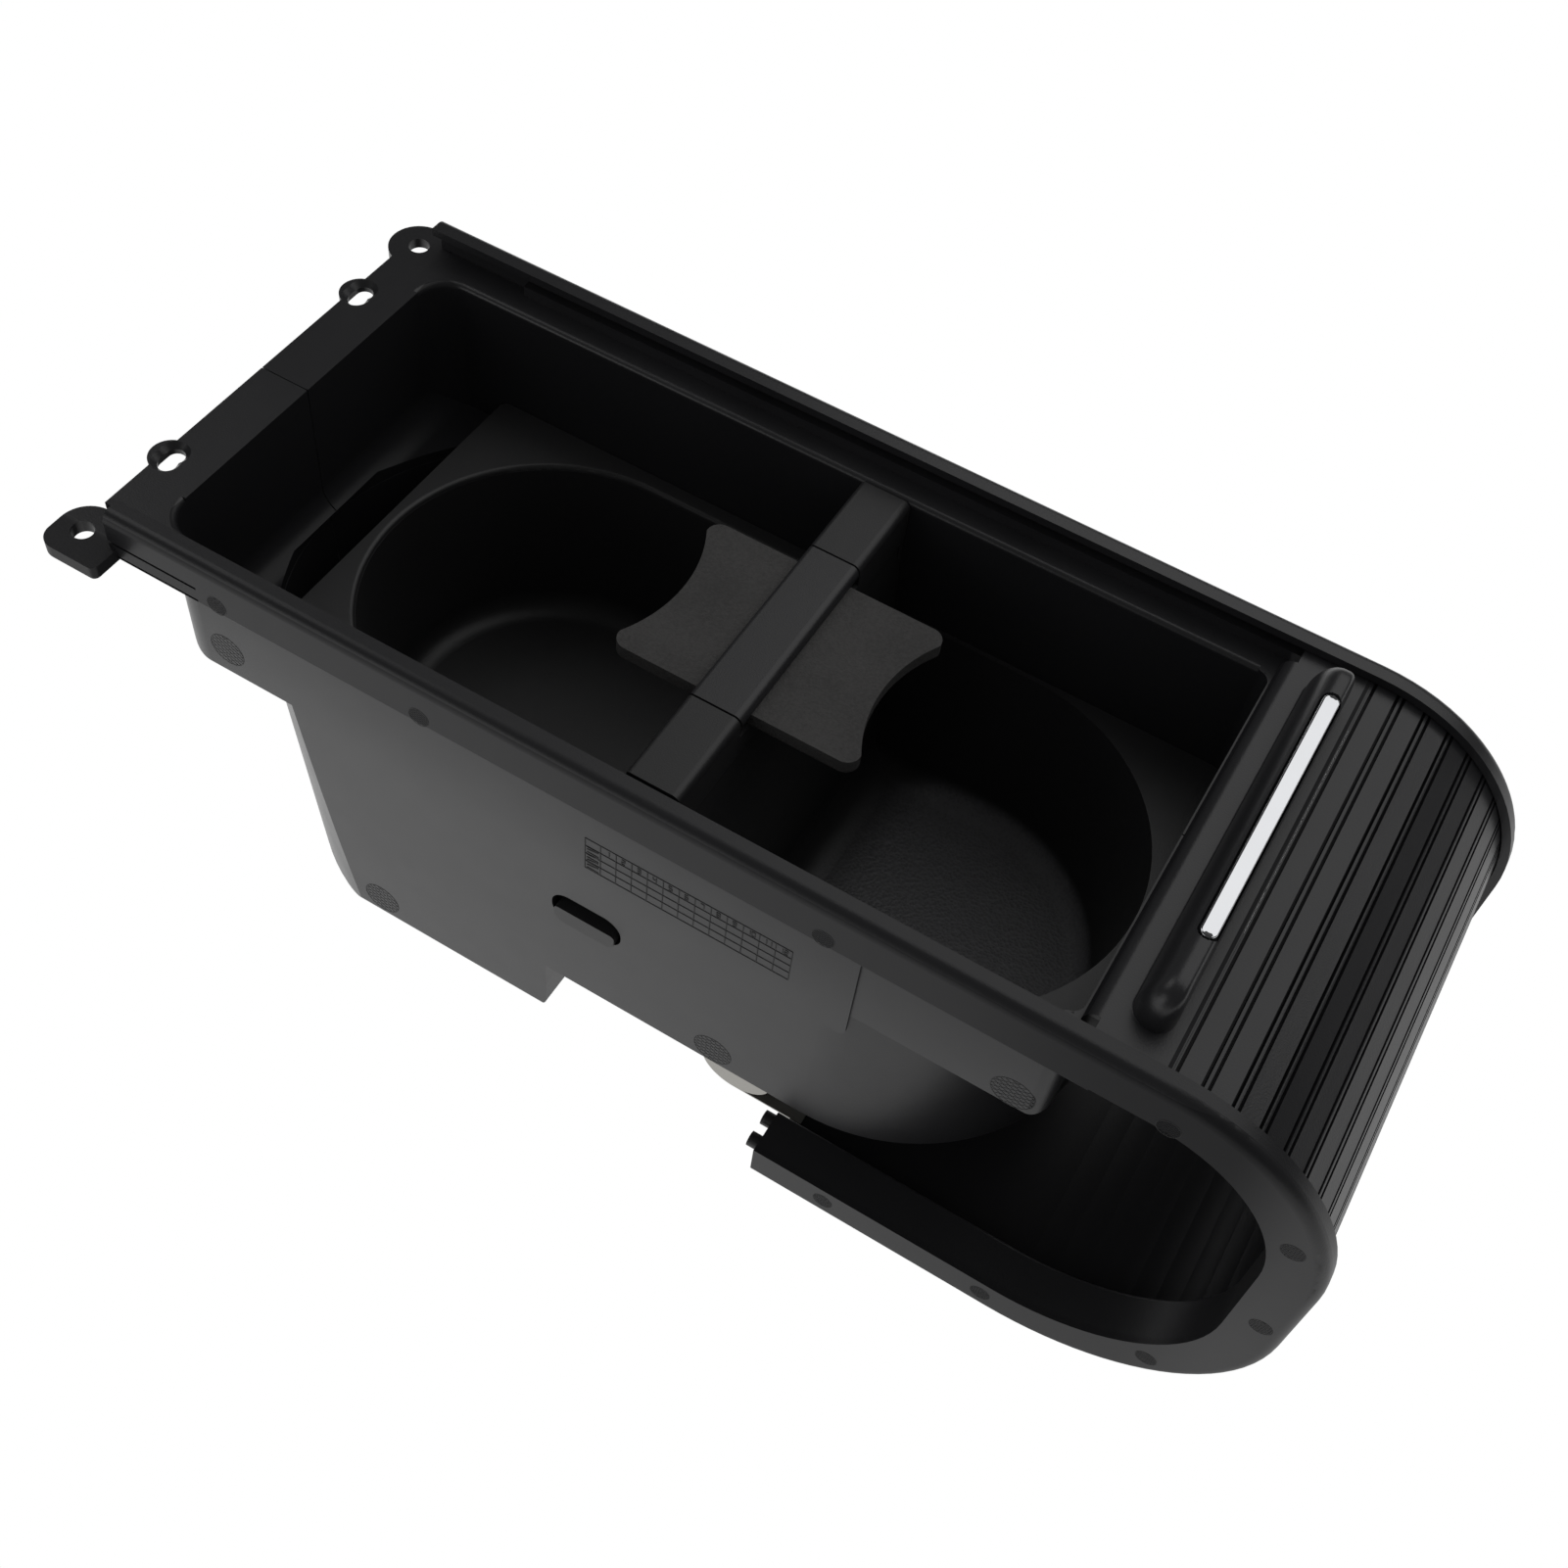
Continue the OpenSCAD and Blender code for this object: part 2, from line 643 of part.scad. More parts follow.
// The beam across the insert, with the two fixed stubs of the bridge and their legs.
module bridge_frame() {
    x0 = bridge_x - bridge_w / 2;
    beam_top = flange_drop + cap_t + pad_t;
    for (s = [0, 1]) mirror([0, s, 0]) {
        across(-insert_half_w, -cap_half_len - cap_gap)
            round_rect([x0, -flange_drop - bridge_h], [x0 + bridge_w, -flange_drop], [1.5, 1.5, 2, 1]);
        across(-insert_half_w, -insert_half_w + 2)
            translate([x0, -left_ledge_z - 20]) square([bridge_w, left_ledge_z + 20 - flange_drop - 3]);
    }
    across(-insert_half_w, insert_half_w)
        round_rect([x0, -flange_drop - bridge_h], [x0 + bridge_w, -beam_top], [1.5, 1.5, 0, 0]);
}

cap_leg_t = 2.2;
cap_leg_w = 8;
cap_leg_h = 5;
module cap_legs(gap) for (s = [0, 1]) mirror([0, s, 0])
    translate([bridge_x - cap_leg_w / 2 - gap, cap_half_len - cap_leg_t - 0.4 - gap,
               -flange_drop - cap_t - pad_t - cap_leg_h - (gap > 0 ? 1 : 0)])
        cube([cap_leg_w + 2 * gap, cap_leg_t + 2 * gap, pad_t + cap_leg_h + (gap > 0 ? 1 : eps)]);

module cap_slots() cap_legs(0.2);

module divider_cap() color([0.05, 0.05, 0.055]) in_frame() {
    across(-cap_half_len, cap_half_len)
        round_rect([bridge_x - bridge_w / 2, -flange_drop - cap_t], [bridge_x + bridge_w / 2, -flange_drop], [0, 0, 2, 1]);
    cap_legs(0);
}

module pad_outline() {
    x0 = pad_x - pad_len / 2;
    x1 = pad_x + pad_len / 2;
    difference() {
        round_rect([x0, -pad_w / 2], [x1, pad_w / 2], [pad_corner_r, pad_corner_r, pad_corner_r, pad_corner_r]);
        translate([x0 + pad_end_cut - pad_end_r, 0]) circle(r = pad_end_r);
        translate([x1 - pad_end_cut + pad_end_r, 0]) circle(r = pad_end_r);
    }
}

module grip_pad() color([0.24, 0.24, 0.24]) in_frame()
    translate([0, 0, -flange_drop - cap_t - pad_t]) linear_extrude(pad_t) pad_outline();

// Screws from beneath, through the posts of the two halves into the bosses of the insert.
screw_head_d = 5.6;
screw_head_h = 2;

module insert_bosses() for (s = [-1, 1])
    translate([left_well_x, s * post_y, -screw_spots[0][2]]) cylinder(r = post_r, h = boss_h + insert_wall / 2);

module boss_bores() for (p = screw_spots, s = [-1, 1])
    translate([p.x, s * post_y, -p[2] - 1]) cylinder(d = screw_d + 0.1, h = p[3] + 1);

module base_screws() color([0.6, 0.6, 0.62]) in_frame() for (p = screw_spots, s = [-1, 1])
    translate([p.x, s * post_y, -p[2] - post_shoulder]) {
        translate([0, 0, -screw_head_h]) cylinder(d = screw_head_d, h = screw_head_h);
        cylinder(d = screw_d, h = post_shoulder + p[3] - 0.4);
    }

hook_h = 5.4;
hook_gap = 0.5;
module snap_hook() across(-tray_out_y - 1, -left_well_r + 2.2)
    round_rect([clip_x + 1.2, hook_gap - clip_low], [clip_x + clip_len - 1.2, hook_gap - clip_low + hook_h],
               [2.6, 2.6, 1.2, 1.2]);

// Section of the blind: a flat strip that runs in the groove.
module slat_section(slat_half_w) translate([-slat_depth - slat_t, 0]) square([slat_t, slat_half_w]);

// Two thin grooves that hinge one slat to the next, cut from the outside.
module hinge_cut() for (s = [-1, 1])
    translate([s * slit_w - slit_w / 2, -half_span, -slat_depth - slit_d]) cube([slit_w, 2 * half_span, slit_d + 1]);

// Puts a cutter, drawn at the top of the rails on X = 0, at a distance along the track.
module at_track(s) {
    top_arc = bend_top_r * PI / 2;
    side = loop_h - bend_top_r - bend_low_r;
    low_arc = bend_low_r * PI / 2;
    s1 = rail_run;
    s2 = s1 + top_arc;
    s3 = s2 + side;
    s4 = s3 + low_arc;
    if (s < s1)
        translate([s, 0, 0]) children();
    else if (s < s2)
        translate([s1, 0, -bend_top_r]) rotate([0, (s - s1) / top_arc * 90, 0]) translate([0, 0, bend_top_r]) children();
    else if (s < s3)
        translate([bend_right_x, 0, -bend_top_r - (s - s2)]) rotate([0, 90, 0]) children();
    else if (s < s4)
        translate([low_bend_x, 0, bend_low_r - loop_h]) rotate([0, 90 + (s - s3) / low_arc * 90, 0])
            translate([0, 0, bend_low_r]) children();
    else
        translate([low_bend_x - (s - s4), 0, -loop_h]) rotate([0, 180, 0]) children();
}

module slat_blind() color([0.05, 0.05, 0.055]) in_frame() {
    track = rail_run + (bend_top_r + bend_low_r) * PI / 2 + loop_h - bend_top_r - bend_low_r + arm_len;
    difference() {
        for (s = [0, 1]) mirror([0, s, 0]) {
            along_top(lid_end, rail_run) slat_section(slat_half_w);
            along_bends(arm_left_x + tail_back) slat_section(slat_half_w);
        }
        for (s = [lid_end : slat_pitch : track - tail_back - slat_pitch / 2])
            at_track(s) hinge_cut();
    }
}

module lid_leaf() color([0.05, 0.05, 0.055]) in_frame() {
    top = -slat_depth;
    difference() {
        union() {
            for (s = [0, 1]) mirror([0, s, 0]) along_top(lid_x + nose_h, lid_end) slat_section(slat_half_w);
            across(-leaf_half_w, leaf_half_w)
                round_rect([lid_x, top - nose_h], [lid_x + nose_h + 1, top], [1.2, 1, 0, nose_h - 1.3]);
            grip_bar(top);
        }
        strip_pocket(top);
        at_track(lid_end) hinge_cut();
    }
}

// Half of the grip bar's section: sides that slope a little, and a rounded top edge.
module grip_half_section(top) {
    crown = grip_w / 2;
    difference() {
        polygon([[0, top - 1], [crown + grip_slope, top - 1], [crown + grip_slope, top],
                 [crown, top + grip_h - grip_crown_r], [crown, top + grip_h], [0, top + grip_h]]);
        corner_off([crown, top + grip_h], [1, 1], grip_crown_r);
    }
}

// Grip bar: straight along the middle, round in plan at both ends, with a hollow blend in front.
module grip_bar(top) {
    straight = grip_len - grip_w - 2 * grip_slope;
    translate([grip_x, 0, 0]) {
        for (s = [-1, 1]) translate([0, s * straight / 2, 0]) rotate_extrude() grip_half_section(top);
        across(-straight / 2, straight / 2) for (m = [0, 1]) mirror([m, 0]) grip_half_section(top);
        across(-straight / 2, straight / 2) translate([-grip_w / 2 - grip_slope - grip_blend_r, top]) difference() {
            translate([0, -1]) square([grip_blend_r + 1, grip_blend_r + 1]);
            translate([0, grip_blend_r]) circle(r = grip_blend_r);
        }
    }
}

module obround(len, w) {
    square([w, len - w], center = true);
    for (s = [-1, 1]) translate([0, s * (len - w) / 2]) circle(d = w);
}

module strip_pocket(top) translate([strip_x, 0, top + grip_h - 1.2]) linear_extrude(2)
    obround(strip_len + 0.6, strip_w + 0.6);

module chrome_strip() color([0.85, 0.86, 0.88]) in_frame()
    translate([strip_x, 0, -slat_depth + grip_h - 1.2]) linear_extrude(1.5) obround(strip_len, strip_w);

// Coiled strip spring at the end of the lower arm, on a pin below the middle housing.
strip_lap = 3;
module coil_spring() color([0.55, 0.54, 0.52]) in_frame() translate([coil_x, 0, coil_z]) {
    across(coil_y0, coil_y0 + coil_w) difference() {
        circle(r = coil_r);
        circle(r = pin_r + 0.3);
    }
    across(coil_y0, coil_y0 + coil_w)
        translate([0, -coil_r]) square([arm_left_x + tail_back + strip_lap - coil_x, strip_t]);
}

module spring_pin() color([0.6, 0.6, 0.62]) in_frame() translate([coil_x, 0, coil_z])
    across(coil_y0, coil_y0 + coil_w + pin_ear_gap + pin_ear_t + pin_end) circle(r = pin_r);

// Ear of the near half that carries the spring pin.
pin_ear_t = 3.6;
pin_ear_wall = 2.4;
pin_ear_gap = 0.3;
pin_end = 0.5;
module pin_ear() {
    y0 = coil_y0 + coil_w + pin_ear_gap;
    r = pin_r + pin_ear_wall;
    translate([coil_x, 0, coil_z]) across(y0, y0 + pin_ear_t) difference() {
        union() {
            circle(r = r);
            translate([-r, 0]) square([2 * r, floor_t / 2 - mid_depth - coil_z]);
        }
        circle(r = pin_r + stud_gap);
    }
}

// Pins in the end faces of the lower arm, which close the groove behind the blind.
stud_r = 1.9;
stud_out = 3;
stud_in = 5;
stud_up = 8.2;
stud_from_side = [4, 10.5];
stud_gap = 0.05;
module at_studs() for (y = stud_from_side)
    translate([arm_left_x, y - half_span, stud_up - loop_h]) rotate([0, 90, 0]) children();

module track_studs() color([0.6, 0.6, 0.62]) in_frame() for (s = [0, 1]) mirror([0, s, 0])
    at_studs() translate([0, 0, -stud_out]) cylinder(r = stud_r, h = stud_out + stud_in);

module stud_bores() at_studs() translate([0, 0, -1]) cylinder(r = stud_r + stud_gap, h = 1 + stud_in);

side_near();
side_far();
cup_insert();
divider_cap();
grip_pad();
slat_blind();
lid_leaf();
chrome_strip();
coil_spring();
spring_pin();
track_studs();
base_screws();
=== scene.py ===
"""Looks of a car console cup holder with a slatted blind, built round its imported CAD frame."""

import logging
import math
from dataclasses import dataclass, field
from enum import Enum
from typing import Callable, Iterable, Sequence

import bpy
import numpy as np
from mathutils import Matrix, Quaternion, Vector

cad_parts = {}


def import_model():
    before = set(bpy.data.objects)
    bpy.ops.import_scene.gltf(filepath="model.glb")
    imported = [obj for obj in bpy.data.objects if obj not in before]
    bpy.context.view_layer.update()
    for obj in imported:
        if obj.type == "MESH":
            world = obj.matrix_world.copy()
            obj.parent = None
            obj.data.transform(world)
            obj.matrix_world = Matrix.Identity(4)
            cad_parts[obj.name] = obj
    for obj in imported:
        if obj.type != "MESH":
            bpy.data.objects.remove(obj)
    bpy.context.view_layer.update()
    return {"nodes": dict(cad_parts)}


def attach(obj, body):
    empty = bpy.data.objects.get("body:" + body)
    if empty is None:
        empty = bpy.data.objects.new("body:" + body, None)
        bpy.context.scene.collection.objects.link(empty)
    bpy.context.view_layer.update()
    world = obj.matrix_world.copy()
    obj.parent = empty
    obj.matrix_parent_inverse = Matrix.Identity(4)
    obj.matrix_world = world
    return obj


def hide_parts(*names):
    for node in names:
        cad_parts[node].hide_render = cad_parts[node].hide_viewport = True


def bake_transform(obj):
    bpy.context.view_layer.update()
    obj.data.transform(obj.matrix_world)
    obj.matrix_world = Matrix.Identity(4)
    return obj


log = logging.getLogger("cup_holder")

Triple = tuple[float, float, float]
Pair = tuple[float, float]

MM = 0.001
# The CAD is drawn from the left end of the rails and then moved to the screw slots.
SHIFT = np.array([6.0, 0.0, 8.0])
# The places of a Mix node's factor, its two colours and its colour result.
MIX_FACTOR, MIX_FIRST, MIX_SECOND, MIX_RESULT = 0, 6, 7, 2


class Body(str, Enum):
    """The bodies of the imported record."""

    ROOT = "root"
    LID = "lid"


class Slot(str, Enum):
    """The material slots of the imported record."""

    SHELL = "shell_plastic"
    INSERT = "insert_plastic"
    PAD = "pad_foam"
    BLIND = "blind_plastic"
    TRIM = "bright_trim"
    SPRING = "spring_steel"
    PIN = "pin_steel"


class Sock:
    """An output socket that takes part in sums, products and comparisons as a number does."""

    def __init__(self, tree: bpy.types.NodeTree, out: bpy.types.NodeSocket) -> None:
        """Wraps one output of the tree."""
        self.tree = tree
        self.out = out

    def _math(self, op: str, *args: "Sock | float", clamp: bool = False) -> "Sock":
        """Adds a Math node.

        Args:
            op: the operation's name.
            *args: its inputs in order, as sockets or numbers.
            clamp: whether the result is kept from 0 to 1.

        Returns:
            The node's result.
        """
        node = self.tree.nodes.new("ShaderNodeMath")
        node.operation = op
        node.use_clamp = clamp
        for socket, value in zip(node.inputs, args):
            if isinstance(value, Sock):
                self.tree.links.new(value.out, socket)
            else:
                socket.default_value = float(value)
        return Sock(self.tree, node.outputs[0])

    def __add__(self, o: "Sock | float") -> "Sock":
        """The sum."""
        return self._math("ADD", self, o)

    def __radd__(self, o: float) -> "Sock":
        """The sum with a number on the left."""
        return self._math("ADD", o, self)

    def __sub__(self, o: "Sock | float") -> "Sock":
        """The difference."""
        return self._math("SUBTRACT", self, o)

    def __rsub__(self, o: float) -> "Sock":
        """The difference from a number on the left."""
        return self._math("SUBTRACT", o, self)

    def __mul__(self, o: "Sock | float") -> "Sock":
        """The product."""
        return self._math("MULTIPLY", self, o)

    def __rmul__(self, o: float) -> "Sock":
        """The product with a number on the left."""
        return self._math("MULTIPLY", o, self)

    def __truediv__(self, o: "Sock | float") -> "Sock":
        """The quotient."""
        return self._math("DIVIDE", self, o)

    def __gt__(self, o: "Sock | float") -> "Sock":
        """1 where the value is greater, else 0."""
        return self._math("GREATER_THAN", self, o)

    def __lt__(self, o: "Sock | float") -> "Sock":
        """1 where the value is less, else 0."""
        return self._math("LESS_THAN", self, o)

    def floor(self) -> "Sock":
        """The whole number below."""
        return self._math("FLOOR", self)

    def magnitude(self) -> "Sock":
        """The value without its sign."""
        return self._math("ABSOLUTE", self)

    def angle(self, across: "Sock") -> "Sock":
        """The angle of the vector (across, self), in radians."""
        return self._math("ARCTAN2", self, across)

    def length(self, other: "Sock") -> "Sock":
        """The length of the vector (self, other)."""
        square = self * self + other * other
        return square._math("SQRT", square)

    def clamp(self) -> "Sock":
        """Keeps the value from 0 to 1."""
        return self._math("ADD", self, 0.0, clamp=True)

    def ramp(self, low: float, high: float) -> "Sock":
        """Rises smoothly from 0 at one value to 1 at another, which may be the smaller one.

        Args:
            low: the value that gives 0.
            high: the value that gives 1.

        Returns:
            The smooth step t*t*(3 - 2*t) of the share t between the two.
        """
        node = self.tree.nodes.new("ShaderNodeMapRange")
        node.interpolation_type = "SMOOTHSTEP"
        self.tree.links.new(self.out, node.inputs["Value"])
        node.inputs["From Min"].default_value = low
        node.inputs["From Max"].default_value = high
        return Sock(self.tree, node.outputs["Result"])


class Shader:
    """A principled material whose varying inputs are built from sockets."""

    def __init__(self, name: str) -> None:
        """Starts the material, with its Object coordinates as x, y and z in metres.

        Args:
            name: the material's name.
        """
        self.material = bpy.data.materials.new(name)
        self.material.use_nodes = True
        self.tree = self.material.node_tree
        self.bsdf = self.tree.nodes["Principled BSDF"]
        self.place = self.node("ShaderNodeTexCoord").outputs["Object"]
        self.x, self.y, self.z = self.parts(self.place)

    def feed(self, socket: bpy.types.NodeSocket, value: object) -> None:
        """Links an input to a source, or sets it.

        Args:
            socket: the input.
            value: a Sock or a node's output, which links, or a plain value.
        """
        source = value.out if isinstance(value, Sock) else value
        if isinstance(source, bpy.types.NodeSocket):
            self.tree.links.new(source, socket)
        else:
            socket.default_value = source

    def node(self, kind: str, settings: dict | None = None, **inputs: object) -> bpy.types.Node:
        """Adds a node of any other kind.

        Args:
            kind: the node's type name.
            settings: attributes to set on it.
            **inputs: its inputs by name, with _ for a space.

        Returns:
            The new node.
        """
        made = self.tree.nodes.new(kind)
        for key, value in (settings or {}).items():
            setattr(made, key, value)
        for key, value in inputs.items():
            self.feed(made.inputs[key.replace("_", " ")], value)
        return made

    def parts(self, vector: bpy.types.NodeSocket) -> list[Sock]:
        """Splits a vector into its three components."""
        split = self.node("ShaderNodeSeparateXYZ", Vector=vector)
        return [Sock(self.tree, out) for out in split.outputs]

    def noise(self, scale: float, detail: float, stretch: Sequence[float] = (1, 1, 1)) -> Sock:
        """Adds fractal noise in Object coordinates.

        Args:
            scale: how many blotches go to a metre.
            detail: how many finer layers it has.
            stretch: factors on the coordinates, below 1 for streaks along that axis.

        Returns:
            The noise, from 0 to 1.
        """
        at = self.node("ShaderNodeMapping", Vector=self.place, Scale=tuple(stretch))
        made = self.node("ShaderNodeTexNoise", Vector=at.outputs[0], Scale=scale, Detail=detail)
        return Sock(self.tree, made.outputs[0])

    def cells(self, scale: float) -> Sock:
        """Distance to the nearest cell centre of a Voronoi texture, with scale cells to a metre."""
        made = self.node("ShaderNodeTexVoronoi", Vector=self.place, Scale=scale)
        return Sock(self.tree, made.outputs["Distance"])

    def mix(self, first: object, second: object, by: Sock) -> bpy.types.NodeSocket:
        """Mixes two colours.

        Args:
            first: the colour where by is 0, as a triple or a node's output.
            second: the colour where by is 1, likewise.
            by: the share of the second.

        Returns:
            The mixed colour.
        """
        made = self.node("ShaderNodeMix", {"data_type": "RGBA"})
        self.feed(made.inputs[MIX_FACTOR], by)
        for place, colour in ((MIX_FIRST, first), (MIX_SECOND, second)):
            self.feed(made.inputs[place], (*colour, 1) if isinstance(colour, tuple) else colour)
        return made.outputs[MIX_RESULT]

    def set(self, **values: object) -> None:
        """Sets or links inputs of the principled shader, by name with _ for a space."""
        for key, value in values.items():
            self.feed(self.bsdf.inputs[key.replace("_", " ")], value)

    def bump(self, height: Sock, depth: float) -> None:
        """Raises the surface by height times depth, in metres."""
        made = self.node("ShaderNodeBump", Height=height, Distance=depth, Strength=1.0)
        self.set(Normal=made.outputs[0])

    def dulled(self, by: Sock, colour: Triple, rough: float, ior: float) -> None:
        """Mixes in painted shade: a second, darker surface that hardly reflects.

        Args:
            by: the share of the second surface.
            colour: its colour.
            rough: its roughness.
            ior: its index of refraction, near 1 for a weak reflection.
        """
        dull = self.node("ShaderNodeBsdfPrincipled", Base_Color=(*colour, 1), Roughness=rough, IOR=ior)
        mixed = self.node("ShaderNodeMixShader")
        for socket, source in zip(mixed.inputs, (by, self.bsdf.outputs[0], dull.outputs[0])):
            self.feed(socket, source)
        self.feed(self.tree.nodes["Material Output"].inputs["Surface"], mixed.outputs[0])


def scaled(colour: Triple, by: float) -> Triple:
    """A colour with its three values times by."""
    return tuple(value * by for value in colour)


Mask = Callable[[Shader], Sock]


@dataclass(frozen=True)
class Plastic:
    """A moulded plastic: its colour, how its gloss varies, its grain, a pale coarse grain that is
    partly wear and partly painted light, and its painted shade.

    Textures are given as blotches or cells to a metre, and depths in metres.
    """

    name: str
    colour: Triple
    rough: float
    rough_vary: float = 0.06
    tone_vary: float = 0.2
    ior: float = 1.5
    cloud: float = 28.0
    scuff: float = 160.0
    scuff_stretch: Triple = (1, 0.3, 1)
    grain: float = 2600.0
    grain_depth: float = 0.00003
    coarse: float = 1150.0
    coarse_height: float = 6.5
    coarse_rough: float = 0.08
    # The coarse grain's pale tone and its share: partly wear, partly painted light on a lit floor.
    worn: Triple = (0.062, 0.062, 0.065)
    worn_base: float = 0.7
    worn_rise: float = 0.6
    # The painted shade's surface: its roughness, and an index of refraction near 1 for a weak
    # reflection.
    dull_rough: float = 0.7
    dull_ior: float = 1.12

    def build(self, more: Mask | None = None, dull: Mask | None = None,
              form: Mask | None = None) -> bpy.types.Material:
        """Makes the material.

        Args:
            more: returns a mask of coarse grain of wear, whose pale tone is partly painted light, from
                0 to 1.
            dull: returns a mask of painted shade, places mixed with a darker surface that hardly
                reflects, from 0 to 1.
            form: returns a relief in metres, which the bump adds to the grain.

        Returns:
            The Blender material.
        """
        s = Shader(self.name)
        cloud = s.noise(self.cloud, detail=4.0)
        height = s.noise(self.grain, detail=2.0)
        scuff = s.noise(self.scuff, detail=3.0, stretch=self.scuff_stretch)
        dark = scaled(self.colour, 1 - self.tone_vary)
        tone = s.mix(dark, scaled(self.colour, 1 + self.tone_vary), cloud)
        rough = self.rough + (cloud - 0.5) * self.rough_vary + (scuff - 0.5) * self.rough_vary
        if more is not None:
            mask = more(s)
            coarse = s.cells(self.coarse)
            height = height + coarse * mask * self.coarse_height
            rough = rough + mask * self.coarse_rough
            # The coarse grain takes the pale tone: partly wear, partly painted light.
            tone = s.mix(tone, self.worn, (mask * (self.worn_base + coarse * self.worn_rise)).clamp())
        s.set(Base_Color=tone, Roughness=rough, IOR=self.ior)
        if form is not None:
            height = height + form(s) / self.grain_depth
        s.bump(height, self.grain_depth)
        # Painted shade: a darker surface that hardly reflects, mixed in where the mask says.
        if dull is not None:
            s.dulled(dull(s).clamp(), dark, self.dull_rough, self.dull_ior)
        return s.material


@dataclass(frozen=True)
class Foam:
    """A matte foam rubber with open cells, given as cells or blotches to a metre."""

    name: str
    colour: Triple
    rough: float = 0.86
    rough_vary: float = 0.2
    ior: float = 1.45
    dark: float = 0.78
    pale: float = 1.25
    contrast: Pair = (0.3, 0.7)
    cell: float = 2100.0
    cloud: float = 55.0
    speck: float = 1500.0
    speck_height: float = 0.6
    depth: float = 0.00012

    def build(self) -> bpy.types.Material:
        """Makes the material, whose tone follows clouds and specks in equal shares."""
        s = Shader(self.name)
        cells = s.cells(self.cell)
        cloud = s.noise(self.cloud, detail=5.0)
        speck = s.noise(self.speck, detail=2.0)
        share = (cloud * 0.5 + speck * 0.5).ramp(*self.contrast)
        s.set(Base_Color=s.mix(scaled(self.colour, self.dark), scaled(self.colour, self.pale), share))
        s.set(Roughness=self.rough + (cloud - 0.5) * self.rough_vary, IOR=self.ior)
        s.bump(cells + speck * self.speck_height, self.depth)
        return s.material


@dataclass(frozen=True)
class Metal:
    """A metal, drawn or polished along Y, with lines and clouds to a metre."""

    name: str
    colour: Triple
    rough: float
    streak: float = 0.1
    depth: float = 0.000004
    dark: float = 0.9
    line: float = 900.0
    line_stretch: Triple = (1, 0.03, 1)
    cloud: float = 45.0

    def build(self) -> bpy.types.Material:
        """Makes the material."""
        s = Shader(self.name)
        lines = s.noise(self.line, detail=3.0, stretch=self.line_stretch)
        cloud = s.noise(self.cloud, detail=3.0)
        s.set(Base_Color=s.mix(scaled(self.colour, self.dark), self.colour, cloud), Metallic=1.0)
        s.set(Roughness=self.rough + (lines - 0.5) * self.streak)
        s.bump(lines, self.depth)
        return s.material


def p_frame(points: np.ndarray) -> np.ndarray:
    """Millimetres from the rail ends to metres in the part's frame."""
    return (np.asarray(points, float) + SHIFT) * MM


def add_mesh(name: str, points: np.ndarray, faces: Iterable[Sequence[int]],
             smooth: bool = True) -> bpy.types.Object:
    """Makes an object at the origin.

    Args:
        name: the object's name.
        points: one row to a point, in metres.
        faces: the points of each face by number.
        smooth: whether the faces are shaded smooth.

    Returns:
        The new object.
    """
    mesh = bpy.data.meshes.new(name)
    mesh.from_pydata(np.asarray(points).tolist(), [], [list(map(int, face)) for face in faces])
    mesh.validate()
    mesh.update()
    if smooth:
        mesh.shade_smooth()
    made = bpy.data.objects.new(name, mesh)
    bpy.context.scene.collection.objects.link(made)
    log.info("%s: %d faces", name, len(mesh.polygons))
    return made


def grid_faces(rows: int, cols: int) -> np.ndarray:
    """Quads of a grid of rows by cols points, counted row by row."""
    i, j = np.meshgrid(np.arange(rows - 1), np.arange(cols - 1), indexing="ij")
    a = (i * cols + j).ravel()
    return np.stack([a, a + cols, a + cols + 1, a + 1], axis=1)


def tube_faces(rings: int, count: int) -> np.ndarray:
    """Quads between rings of count points each, where every ring closes on itself."""
    k = np.arange(count)
    after = (k + 1) % count
    first = count * np.arange(rings - 1)[:, None]
    quads = [first + k, first + after, first + count + after, first + count + k]
    return np.stack(quads, axis=-1).reshape(-1, 4)


def superellipse(across: np.ndarray, half: float, power: float) -> np.ndarray:
    """Height from 0 to 1 of the curve |x/half|^power + z^power = 1."""
    return np.clip(1 - np.abs(across / half) ** power, 0, 1) ** (1 / power)


